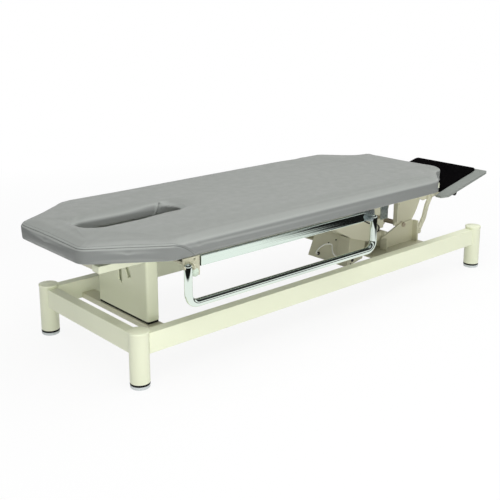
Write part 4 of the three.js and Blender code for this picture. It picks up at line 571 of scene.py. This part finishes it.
def swept(name, points, radii, sides, body, material):
    """A tube along points, a radius at each, with capped ends."""
    bm = bmesh.new()
    rings = []
    last = len(points) - 1
    lead = Vector((0, 0, 1))
    for i, (p, radius) in enumerate(zip(points, radii)):
        way = (points[min(i + 1, last)] - points[max(i - 1, 0)]).normalized()
        if abs(way.dot(lead)) > 0.95:
            lead = way.orthogonal()
        across = way.cross(lead).normalized()
        lead = across.cross(way).normalized()
        ring = []
        for k in range(sides):
            a = 2 * math.pi * k / sides
            ring.append(bm.verts.new(p + (across * math.cos(a) + lead * math.sin(a)) * radius))
        rings.append(ring)
    tube_faces(bm, rings)
    return add_object(name, finished(bm, name), body, material, smooth=50)


# Cords: routes in millimetres from the drive's pivot, the middle number across the table
DRIVE_PIVOT = (120, 0, 315)
CORD_DIAMETER = 0.005
ROUTE_STEPS = 6
WHITE_ROUTE = [
    (129, 53.3, -213), (120, 53.3, -213), (109, 50, -208), (101, 38, -192), (104, 20, -172),
    (112, -2, -158), (120, -22, -158), (111, -33, -168), (103, -45, -182), (104, -57, -192),
    (113, -62, -195), (122.5, -62, -195),
]
DARK_ROUTE = [
    (184, -112.8, -53), (184, -118, -53), (198, -121, -58), (225, -121, -71), (248, -121, -77),
    (266, -121, -82), (282, -121, -94), (283, -121, -106), (276, -121, -113), (268, -120, -110),
    (268, -118, -104), (268, -112.8, -104),
]


def smooth_route(points):
    """Centripetal Catmull-Rom through the points."""
    knots = [2 * points[0] - points[1], *points, 2 * points[-1] - points[-2]]
    out = []
    for p0, p1, p2, p3 in zip(knots, knots[1:], knots[2:], knots[3:]):
        d0 = max((p1 - p0).length ** 0.5, 1e-4)
        d1 = max((p2 - p1).length ** 0.5, 1e-4)
        d2 = max((p3 - p2).length ** 0.5, 1e-4)
        t1 = ((p1 - p0) / d0 - (p2 - p0) / (d0 + d1) + (p2 - p1) / d1) * d1
        t2 = ((p2 - p1) / d1 - (p3 - p1) / (d1 + d2) + (p3 - p2) / d2) * d1
        for k in range(ROUTE_STEPS):
            t = k / ROUTE_STEPS
            out.append(
                p1 * (2 * t ** 3 - 3 * t ** 2 + 1) + t1 * (t ** 3 - 2 * t ** 2 + t)
                + p2 * (-2 * t ** 3 + 3 * t ** 2) + t2 * (t ** 3 - t ** 2))
    out.append(points[-1].copy())
    return out


def make_cords(m):
    """The two leads of the drive, each swept along its route."""
    for name, node, route, material, slot in (
        ("lead_white_sheath", "lead_white", WHITE_ROUTE, m["lead_white"], "lead_white"),
        ("lead_dark_sheath", "lead_dark", DARK_ROUTE, m["black_plastic"], "black_plastic"),
    ):
        points = smooth_route([
            place(DRIVE_PIVOT[0] + x, y, DRIVE_PIVOT[2] + z) for x, y, z in route])
        radii = [CORD_DIAMETER / 2] * len(points)
        piece = swept(name, points, radii, 14, BODY[node], material)
        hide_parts(node)


# Cushion, in millimetres: one half of its plan with its corner radii, the slot's two ends and
# half width, and where the head seam starts to fall and where it meets the lower edge
PLAN = [(-968, 180), (-746, 328), (506, 328), (638, 212), (701, 206)]
PLAN_RADII = [48, 60, 80, 70, 44]
SLOT = (-866, -482, 50)
SEAM_END = (-750, -664)
# Points along the outline and rows across it
ARC_STEPS = 12
SLOT_STEPS = 40
COLUMNS = 480
HEM_ROWS, SIDE_ROWS, ROLL_ROWS, TOP_ROWS, LIP_ROWS, BASE_ROWS = 4, 17, 8, 25, 8, 9
# The rest of the cushion, in metres
CUSHION_BOTTOM = 0.3796
CUSHION_HEIGHT = 0.057  # of its edge, without the crown
DRAW = (0.002, 0.003)  # how far the side stands in at its top, and what its foot adds
HEM = 0.003  # radius of the lower edge
ROLL = 0.018  # height of the rounded upper edge
ROLL_REACH = 0.046  # its width
LIP = (0.013, 0.014)  # at the slot's ends, and what its long sides add
LIP_DROP = 0.018  # height of the rounded lip
LINING = 0.036  # depth of the slot's lining, under which the foam steps back
FOAM_BACK = 0.012
# Rows below the lip: how far each stands back from the slot, and its depth
LINING_ROWS = (
    (0, 0.022), (0, 0.029), (0, LINING), (0.001, LINING + 0.0012), (0.008, LINING + 0.002),
    (FOAM_BACK, LINING + 0.004), (FOAM_BACK, LINING + 0.012))
CROWN = 0.005  # what the middle adds to the height
CROWN_RUN = 0.12  # width over which it rises
TOP_CROWDING = 0.09  # how far the rows of the top gather at its edges
PUFF = 0.0035  # the most that the cover swells
SWELL_FRAMES = 14
HELD = 0.004  # height of the cover's foot that doesn't swell
SEAM_HEIGHT = 0.0445  # at the head end
SEAM_FALL = 1.9  # power of its fall to the lower edge


def rounded_plan():
    """The cushion's outline with its corners rounded, in metres."""
    near = [(x, -y) for x, y in PLAN]
    far = [(x, y) for x, y in reversed(PLAN)]
    corners = near + far
    radii = PLAN_RADII + PLAN_RADII[::-1]
    out = []
    count = len(corners)
    for i, (corner, radius) in enumerate(zip(corners, radii)):
        at = Vector(corner)
        a = (Vector(corners[i - 1]) - at).normalized()
        b = (Vector(corners[(i + 1) % count]) - at).normalized()
        half = a.angle(b) / 2
        cut = radius / math.tan(half)
        centre = at + (a + b).normalized() * (radius / math.sin(half))
        start = at + a * cut - centre
        end = at + b * cut - centre
        turn = start.angle_signed(end)
        for k in range(ARC_STEPS + 1):
            w = -turn * k / ARC_STEPS
            out.append(centre + Vector((
                start.x * math.cos(w) - start.y * math.sin(w),
                start.x * math.sin(w) + start.y * math.cos(w))))
    return np.array([[p.x, p.y] for p in out]) / 1000 - np.array([OFFSET, 0])


def resampled(loop, count, start):
    """Points evenly along a closed loop, the first one nearest to start."""
    loop = np.roll(loop, -int(np.argmin(np.hypot(*(loop - start).T))), axis=0)
    closed = np.vstack([loop, loop[:1]])
    steps = np.hypot(*np.diff(closed, axis=0).T)
    walked = np.concatenate([[0], np.cumsum(steps)])
    at = np.linspace(0, walked[-1], count, endpoint=False)
    return np.stack([np.interp(at, walked, closed[:, k]) for k in (0, 1)], axis=1)


def slot_loop(count):
    """The slot's outline, its first point at the head end."""
    x0, x1, half = (v / 1000 for v in SLOT)
    x0, x1 = x0 - OFFSET, x1 - OFFSET
    fine = []
    for centre, start, turn in (
        (x0 + half, math.pi, math.pi / 2), (x1 - half, -math.pi / 2, math.pi),
        (x0 + half, math.pi / 2, math.pi / 2),
    ):
        for k in range(SLOT_STEPS):
            a = start + turn * k / SLOT_STEPS
            fine.append((centre + half * math.cos(a), half * math.sin(a)))
    return resampled(np.array(fine), count, np.array([x0, 0]))


def outward(loop):
    """Unit normals of a loop that runs counter-clockwise."""
    way = np.roll(loop, -1, axis=0) - np.roll(loop, 1, axis=0)
    normal = np.stack([way[:, 1], -way[:, 0]], axis=1)
    return normal / np.linalg.norm(normal, axis=1)[:, None]


def cushion_rows(edge, hole):
    """Rows of the cushion from its lower edge up the side, over the top and down the slot."""
    out_edge, out_hole = outward(edge), outward(hole)
    drawn, foot = DRAW
    shoulder = CUSHION_HEIGHT - ROLL
    rows, kinds = [], []

    def row(plan, z, kind):
        rows.append(np.column_stack([plan, np.broadcast_to(z, len(plan))]))
        kinds.append(kind)

    def crown(plan):
        run = np.minimum(np.linalg.norm(plan - inner_edge, axis=1), CROWN_RUN) / CROWN_RUN
        return CROWN * run * run * (3 - 2 * run)

    for k in range(HEM_ROWS):
        a = math.pi / 2 * k / HEM_ROWS
        row(edge - out_edge * (drawn + foot + HEM * (1 - math.sin(a))), HEM * (1 - math.cos(a)), "side")
    for k in range(SIDE_ROWS):
        z = HEM + (shoulder - HEM) * k / (SIDE_ROWS - 1)
        draw = drawn + foot * (1 - (z - HEM) / shoulder) ** 1.5
        row(edge - out_edge * draw, z, "side")
    for k in range(1, ROLL_ROWS + 1):
        a = math.pi / 2 * k / ROLL_ROWS
        inset = drawn + ROLL_REACH * (1 - math.cos(a))
        row(edge - out_edge * inset, shoulder + ROLL * math.sin(a), "side")
    inner_edge = edge - out_edge * (drawn + ROLL_REACH)
    lip = LIP[0] + LIP[1] * out_hole[:, 1:] ** 2
    lip_edge = hole + out_hole * lip
    for k in range(1, TOP_ROWS):
        t = k / TOP_ROWS
        t = t - TOP_CROWDING * math.sin(2 * math.pi * t)
        plan = inner_edge * (1 - t) + lip_edge * t
        row(plan, CUSHION_HEIGHT + crown(plan), "top")
    top = CUSHION_HEIGHT + crown(lip_edge)
    for k in range(LIP_ROWS):
        a = math.pi / 2 * k / (LIP_ROWS - 1)
        row(hole + out_hole * lip * (1 - math.sin(a)), top - LIP_DROP * (1 - math.cos(a)), "lip")
    for back, depth in LINING_ROWS:
        row(hole + out_hole * back, top - depth, "lining")
    hole = hole + out_hole * FOAM_BACK
    bottom = edge - out_edge * (drawn + foot + HEM)
    for k in range(1, BASE_ROWS):
        t = k / BASE_ROWS
        row(hole * (1 - t) + bottom * t, 0.0, "base")
    return rows, kinds


def ring_mesh(name, rows):
    """A closed torus of quads from rows of equal length."""
    count = len(rows[0])
    verts = np.vstack(rows)
    total = len(rows)
    r = np.arange(total)[:, None]
    i = np.arange(count)[None, :]
    a = r * count + i
    b = r * count + (i + 1) % count
    c = ((r + 1) % total) * count + (i + 1) % count
    d = ((r + 1) % total) * count + i
    faces = np.stack([a, b, c, d], axis=-1).reshape(-1, 4)
    mesh = bpy.data.meshes.new(name)
    mesh.from_pydata(verts.tolist(), [], faces.tolist())
    mesh.update()
    return mesh


def seam_height(x):
    """Height of the head seam on the long sides, in metres above the cushion's lower face."""
    start, end = (v / 1000 - OFFSET for v in SEAM_END)
    t = np.clip((x - start) / (end - start), 0, 1)
    return SEAM_HEIGHT * (1 - t ** SEAM_FALL)


def coords_of(mesh):
    """The mesh's points, a row each."""
    flat = np.empty(len(mesh.vertices) * 3)
    mesh.vertices.foreach_get("co", flat)
    return flat.reshape(-1, 3)


def inflate(piece, pinned):
    """Swells the piece with cloth pressure and caps how far a point may move."""
    group = piece.vertex_groups.new(name="pinned")
    group.add([int(i) for i in pinned], 1.0, "REPLACE")
    cloth = piece.modifiers.new("cloth", "CLOTH")
    s = cloth.settings
    s.use_pressure = True
    s.uniform_pressure_force = 4.0
    s.mass = 0.3
    s.quality = 5
    s.tension_stiffness = s.compression_stiffness = 60
    s.shear_stiffness = 40
    s.bending_stiffness = 8
    s.effector_weights.gravity = 0
    s.vertex_group_mass = "pinned"
    cloth.collision_settings.use_collision = False
    cloth.point_cache.frame_start, cloth.point_cache.frame_end = 1, SWELL_FRAMES
    before = coords_of(piece.data)
    scene = bpy.context.scene
    for f in range(1, SWELL_FRAMES + 1):
        scene.frame_set(f)
    graph = bpy.context.evaluated_depsgraph_get()
    swollen = coords_of(piece.evaluated_get(graph).data)
    piece.modifiers.remove(cloth)
    piece.vertex_groups.remove(group)
    scene.frame_set(1)
    move = swollen - before
    size = np.linalg.norm(move, axis=1)
    share = np.where(size > 1e-9, PUFF * np.tanh(size / PUFF) / np.maximum(size, 1e-9), 0)
    piece.data.vertices.foreach_set("co", (before + move * share[:, None]).ravel())
    piece.data.update()


def make_cushion(m):
    """The upholstered top: rows of points, swollen as cloth, smoothed once and grooved."""
    loop = rounded_plan()
    head = np.array([loop[:, 0].min(), 0.0])
    rows, kinds = cushion_rows(resampled(loop, COLUMNS, head), slot_loop(COLUMNS))
    mesh = ring_mesh("cushion_cover", rows)
    flat = coords_of(mesh)
    flat[:, 2] += CUSHION_BOTTOM
    mesh.vertices.foreach_set("co", flat.ravel())
    bm = bmesh.new()
    bm.from_mesh(mesh)
    bmesh.ops.recalc_face_normals(bm, faces=bm.faces)
    bm.to_mesh(mesh)
    bm.free()
    piece = add_object("cushion_cover", mesh, "top", m["cushion_vinyl"])
    held = np.isin(np.repeat(kinds, COLUMNS), ("base", "lining"))
    held |= flat[:, 2] < CUSHION_BOTTOM + HELD
    inflate(piece, np.where(held)[0])
    sub = piece.modifiers.new("fine", "SUBSURF")
    sub.levels = sub.render_levels = 1
    applied(piece)
    groove(piece)
    piece.data.shade_smooth()
    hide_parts("cushion")
    return piece


# The seam's groove: depth and half width, then height, place and spread of the swell above it
SEAM_GROOVE = 0.0018
SEAM_SWELL = (0.0009, 0.006, 0.004)
SEAM_SPAN = np.linspace(-0.82, -0.66, 400)
SEAM_PAST = 0.004  # how far the groove runs past the seam's end
# The slot's lining: reach past the slot's ends, reach from the middle line, height
LINING_BOX = (0.03, 0.075, 0.062)
# The crease: distance from the slot's foot end, height where that holds, lean and half width
CREASE = (0.046, 0.04, 0.6, 0.005)
CREASE_FOLD, CREASE_DIP, CREASE_STEP = 0.007, 0.004, 0.004
CREASE_TOP = (0.0635, 0.009)  # height at which the crease has run out, and the height of that fade


def groove(piece):
    """Presses the head seam into the side, and a crease into the slot's foot end."""
    co = coords_of(piece.data)
    normals = np.empty(len(co) * 3)
    piece.data.vertices.foreach_get("normal", normals)
    normals = normals.reshape(-1, 3)
    up = co[:, 2] - CUSHION_BOTTOM
    side = (np.abs(normals[:, 2]) < 0.8) & (up > 0.001)
    head, foot = (v / 1000 - OFFSET for v in SLOT[:2])
    past, beside, high = LINING_BOX
    in_slot = (np.abs(co[:, 1]) < beside) & (co[:, 0] > head - past) & (co[:, 0] < foot + past)
    outer = side & ~in_slot & (co[:, 0] < SEAM_END[1] / 1000 - OFFSET + SEAM_PAST)
    above = up - seam_height(co[:, 0])
    tilt = np.interp(co[:, 0], SEAM_SPAN, np.gradient(seam_height(SEAM_SPAN), SEAM_SPAN))
    away = np.abs(above) / np.sqrt(1 + tilt ** 2)
    depth = SEAM_GROOVE * np.exp(-(away / SEAM_GROOVE) ** 2)
    swell, place_up, spread = SEAM_SWELL
    puff = swell * np.exp(-((above - place_up) / spread) ** 2)
    co[outer] += normals[outer] * (puff - depth)[outer][:, None]
    back, level, lean, half = CREASE
    lining = in_slot & (co[:, 1] > 0) & (up < high)
    across = (co[:, 0] - (foot - back) - (up - level) * lean) / half
    fold = (CREASE_FOLD * np.exp(-across ** 2) - CREASE_DIP * np.exp(-(across + 2) ** 2)
            + CREASE_STEP / (1 + np.exp(-np.clip(across, -20, 20) * 2)))
    co[lining, 1] += (fold * np.clip((CREASE_TOP[0] - up) / CREASE_TOP[1], 0, 1))[lining]
    piece.data.vertices.foreach_set("co", co.ravel())
    piece.data.update()


# Stitches: half length, radius, height above the seam, and radius shares along a stitch
STITCH_HALF = 0.0019
STITCH_RADIUS = 0.00045
STITCH_RISE = 0.0055
STITCH_LIFT = 0.0001
STITCH_SHAPE = ((-1, 0.15), (-0.6, 0.8), (0, 1.0), (0.6, 0.8), (1, 0.15))
STITCH_SIDES = 6
STITCH_LONGEST = 0.012
THREAD_RADIUS = 0.0006
SEAM_POINTS = 1600
SEAM_SHORT = 0.002  # how far before the seam's end the thread stops
RAY_START, RAY_LENGTH = 0.05, 0.12  # of the ray that finds the cushion's side


def make_stitching(m, cushion):
    """Thread along the head seam, and a row of stitches above it."""
    tree = BVHTree.FromObject(cushion, bpy.context.evaluated_depsgraph_get())
    plan = rounded_plan()
    loop = resampled(plan, SEAM_POINTS, np.array([plan[:, 0].min(), 0.0]))
    normal = outward(loop)
    end = SEAM_END[1] / 1000 - OFFSET - SEAM_SHORT
    keep = [i for i in range(SEAM_POINTS) if loop[i][0] < end]
    split = next(k for k in range(1, len(keep)) if keep[k] - keep[k - 1] > 1)
    order = keep[split:] + keep[:split]

    def on_side(i, lift):
        z = CUSHION_BOTTOM + float(seam_height(loop[i][:1])[0]) + lift
        start = Vector((*(loop[i] + normal[i] * RAY_START), z))
        at, facing, _, _ = tree.ray_cast(start, Vector((*-normal[i], 0)), RAY_LENGTH)
        return at, facing

    points = [at for at, _ in (on_side(i, 0.0) for i in order) if at is not None]
    radii = [THREAD_RADIUS] * len(points)
    swept("seam_thread", points, radii, 6, "top", m["thread"])
    bm = bmesh.new()
    walk = [(p, n) for p, n in (on_side(i, STITCH_RISE) for i in order) if p is not None]
    turns = [2 * math.pi * k / STITCH_SIDES for k in range(STITCH_SIDES)]
    for (a, n), (b, _) in zip(walk[::2], walk[1::2]):
        way = b - a
        if way.length < 1e-4 or way.length > STITCH_LONGEST:
            continue
        way.normalize()
        across = n.cross(way).normalized()
        centre = (a + b) / 2 + n * STITCH_LIFT
        rings = []
        for along, share in STITCH_SHAPE:
            middle = centre + way * STITCH_HALF * along
            rings.append([
                bm.verts.new(middle + (across * math.cos(c) + n * math.sin(c)) * STITCH_RADIUS * share)
                for c in turns])
        tube_faces(bm, rings)
    mesh = finished(bm, "seam_stitches")
    add_object("seam_stitches", mesh, "top", m["thread"], smooth=60)


# Legs and levelling feet: places in millimetres, profiles as (radius, height) in metres
LEGS = {"head_near": (-831.9, -265.8), "head_far": (-831.9, 265.8),
        "foot_near": (831.9, -265.8), "foot_far": (831.9, 265.8)}
LEG_PROFILE = [
    (0.0, 0.175), (0.0309, 0.175), (0.03145, 0.1747), (0.03175, 0.1741), (0.03175, 0.1706),
    (0.0315, 0.1701), (0.03045, 0.1699), (0.03025, 0.1696), (0.03025, 0.0172),
    (0.02995, 0.0166), (0.02745, 0.0166), (0.02745, 0.172), (0.0, 0.172),
]
FOOT_PROFILE = [
    (0.0, 0.0), (0.0268, 0.0), (0.0286, 0.0006), (0.0298, 0.0022), (0.03, 0.004), (0.03, 0.0086),
    (0.0296, 0.0096), (0.0286, 0.01), (0.008, 0.01), (0.008, 0.052), (0.0, 0.052),
]


def make_legs(m):
    """Four round legs and the levelling foot under each."""
    for end, (x, y) in LEGS.items():
        origin = place(x, y, 0)
        turned(f"leg_{end}", LEG_PROFILE, origin, 72, m["beige_paint"])
        turned(f"foot_{end}", FOOT_PROFILE, origin, 64, m["foot_disc"])


# Grab bars, in millimetres: both ends, side, pivot, lower run, bend and radius
BAR_HEAD, BAR_FOOT = -703, 111
BAR_SIDE = 337
BAR_PIVOT = 355
BAR_LOW = 241
BAR_BEND = 33
BAR_RADIUS = 12.5
STRAIGHT_STEPS = 12
BEND_STEPS = 12
DOME_STEPS = 7
DOME_TIP = 0.03  # least share of the radius, which closes the dome


def bar_path(y):
    """The grab bar's centre line at a distance across the table."""
    def bend(x, first):
        angles = (first + math.pi / 2 * k / BEND_STEPS for k in range(1, BEND_STEPS + 1))
        return [place(x + BAR_BEND * math.cos(a), y, BAR_LOW + BAR_BEND + BAR_BEND * math.sin(a))
                for a in angles]

    left, right = BAR_HEAD + BAR_BEND, BAR_FOOT - BAR_BEND
    middle = (BAR_PIVOT + BAR_LOW + BAR_BEND) / 2
    points = [place(BAR_HEAD, y, z) for z in (BAR_PIVOT, middle, BAR_LOW + BAR_BEND)]
    points += bend(left, math.pi)
    points += [place(left + (right - left) * k / STRAIGHT_STEPS, y, BAR_LOW)
               for k in range(1, STRAIGHT_STEPS + 1)]
    points += bend(right, -math.pi / 2)
    return points + [place(BAR_FOOT, y, z) for z in (middle, BAR_PIVOT)]


def make_grab_bars(m):
    """Bent tube with domed ends at its two pivots."""
    radius = BAR_RADIUS / 1000
    angles = [math.pi / 2 * k / DOME_STEPS for k in range(1, DOME_STEPS + 1)]
    rises = [Vector((0, 0, radius * math.sin(a))) for a in angles]
    sizes = [radius * max(math.cos(a), DOME_TIP) for a in angles]
    for side, tag in ((-1, "near"), (1, "far")):
        run = bar_path(BAR_SIDE * side)
        points = [run[0] + rise for rise in reversed(rises)] + run + [run[-1] + rise for rise in rises]
        radii = sizes[::-1] + [radius] * len(run) + sizes
        node = f"grab_bar_{tag}"
        piece = swept(node + "_tube", points, radii, 40, BODY[node], m["chrome"])
        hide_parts(node)


# Sheet behind the pedestal's slots: depth behind the face, corners as (y, z), and the
# inset and depth of each ring, all in metres
LINING_BACK = 0.011
LINING_CORNERS = ((-0.062, 0.215), (0.062, 0.215), (0.062, 0.32), (-0.062, 0.32))
LINING_MIDDLE = 0.27
LINING_RINGS = ((0.002, 0.0), (0.0, 0.0004), (0.0, 0.0022), (0.002, 0.0026))


def make_pedestal_lining(m):
    """A folded sheet inside the pedestal, seen through its two slots."""
    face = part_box("pedestal")[0][0]
    bm = bmesh.new()
    rings = []
    for inset, depth in LINING_RINGS:
        rings.append([
            bm.verts.new((
                face + LINING_BACK + depth, y - math.copysign(inset, y),
                z - math.copysign(inset, z - LINING_MIDDLE)))
            for y, z in LINING_CORNERS])
    tube_faces(bm, rings)
    mesh = finished(bm, "pedestal_lining")
    add_object("pedestal_lining", mesh, "base", m["beige_paint"], smooth=30)


# Node, centre and radius in millimetres of each plug, and the way out of each node's face
PLUGS = [
    ("drive_housing", (245.1, 53.3, 102.1), 7.0), ("drive_housing", (266.4, 19.1, 149.4), 3.2),
    ("drive_housing", (274.6, -12.2, 167.4), 3.2),
    ("drive_motor", (270.4, -104.0, 107.0), 7.0), ("drive_motor", (259.6, -104.0, 93.2), 3.2),
]
PLUG_WAY = {"drive_housing": (-0.91, 0, 0.41), "drive_motor": (0, -1, 0)}
PLUG_FLATTENED = 0.6
PLUG_LIFT = 0.0004


def make_plugs(m):
    """Dark plugs and screw heads that fill the holes of the drive's two boxes."""
    for count, (node, at, radius) in enumerate(PLUGS):
        bm = bmesh.new()
        bmesh.ops.create_uvsphere(bm, u_segments=20, v_segments=12, radius=radius / 1000)
        out = Vector(PLUG_WAY[node])
        for v in bm.verts:
            v.co -= out * v.co.dot(out) * PLUG_FLATTENED
            v.co += place(*at) + out * PLUG_LIFT
        name = f"drive_plug_{count}"
        mesh = finished(bm, name)
        add_object(name, mesh, BODY[node], m["black_plastic"], smooth=60)


# Surface, edge radius in metres and edge steps of each eased node, by the start of its name
EASED = [
    ("base_rail", "beige_paint", 0.0032, 3), ("base_beam", "beige_paint_shade", 0.0025, 2),
    ("base_plate", "beige_paint_deep_painted_shade", 0.001, 2), ("pedestal_pad", "black_rubber", 0.001, 2),
    ("pedestal_rest", "black_rubber", 0.001, 2), ("pedestal", "beige_paint", 0.0016, 2),
    ("pivot_bracket", "beige_paint_shade", 0.0012, 2), ("bracket_web", "beige_paint_shade", 0.001, 2),
    ("pivot_shaft", "rod_cover", 0.003, 3), ("leg_plug", "black_rubber", 0.0008, 2),
    ("frame_rail", "beige_paint", 0.0022, 2), ("frame_", "beige_paint_shade", 0.0012, 2),
    ("deck_board", "deck_wood", 0.001, 2), ("pivot_lug", "beige_paint_shade", 0.0012, 2),
    ("side_rail", "drawn_chrome", 0.0006, 2), ("rail_mount_foot", "zinc", 0.0008, 2),
    ("rail_mount_head", "beige_paint_deep_painted_shade", 0.001, 2), ("drive_cradle", "beige_paint_shade", 0.0008, 2),
    ("zinc_angle", "zinc", 0.0006, 2), ("foot_hinge_pin", "steel", 0.0006, 2),
    ("foot_plate", "foot_plate_grey", 0.0028, 3), ("foot_mat", "mat", 0.0016, 2),
    ("foot_arms", "beige_paint_shade", 0.001, 2), ("foot_cap", "black_plastic", 0.001, 2),
    ("drive_housing", "beige_paint_shade", 0.0018, 2), ("drive_motor", "beige_paint_deep_painted_shade", 0.0018, 2),
    ("actuator_tube", "steel", 0.0008, 2), ("push_rod", "rod_cover", 0.0008, 2),
    ("link_", "beige_paint_shade", 0.001, 2), ("knob", "knob_pale", 0.0008, 2),
]
# Nodes that another function stands for, by the start of their names
DONE = ("leg_head", "leg_foot", "foot_head", "foot_foot", "lead_", "cushion", "grab_bar")


def finish_nodes(m):
    """Stands for every other node with its own shape and rounded edges."""
    for node in sorted(NODES):
        if node.startswith(DONE):
            continue
        for start, kind, width, segments in EASED:
            if node.startswith(start):
                eased(node, width, segments, m[kind])
                break
        else:
            raise SystemExit("no finish for " + node)


def main():
    """The materials, the pieces that aren't in the CAD's own shape, then all other nodes."""
    make_camera()
    m = make_materials()
    make_cords(m)
    make_light()
    make_floor()
    cushion = make_cushion(m)
    make_stitching(m, cushion)
    make_legs(m)
    make_grab_bars(m)
    make_pedestal_lining(m)
    make_plugs(m)
    finish_nodes(m)


main()
bpy.context.scene.view_settings.view_transform = "Standard"
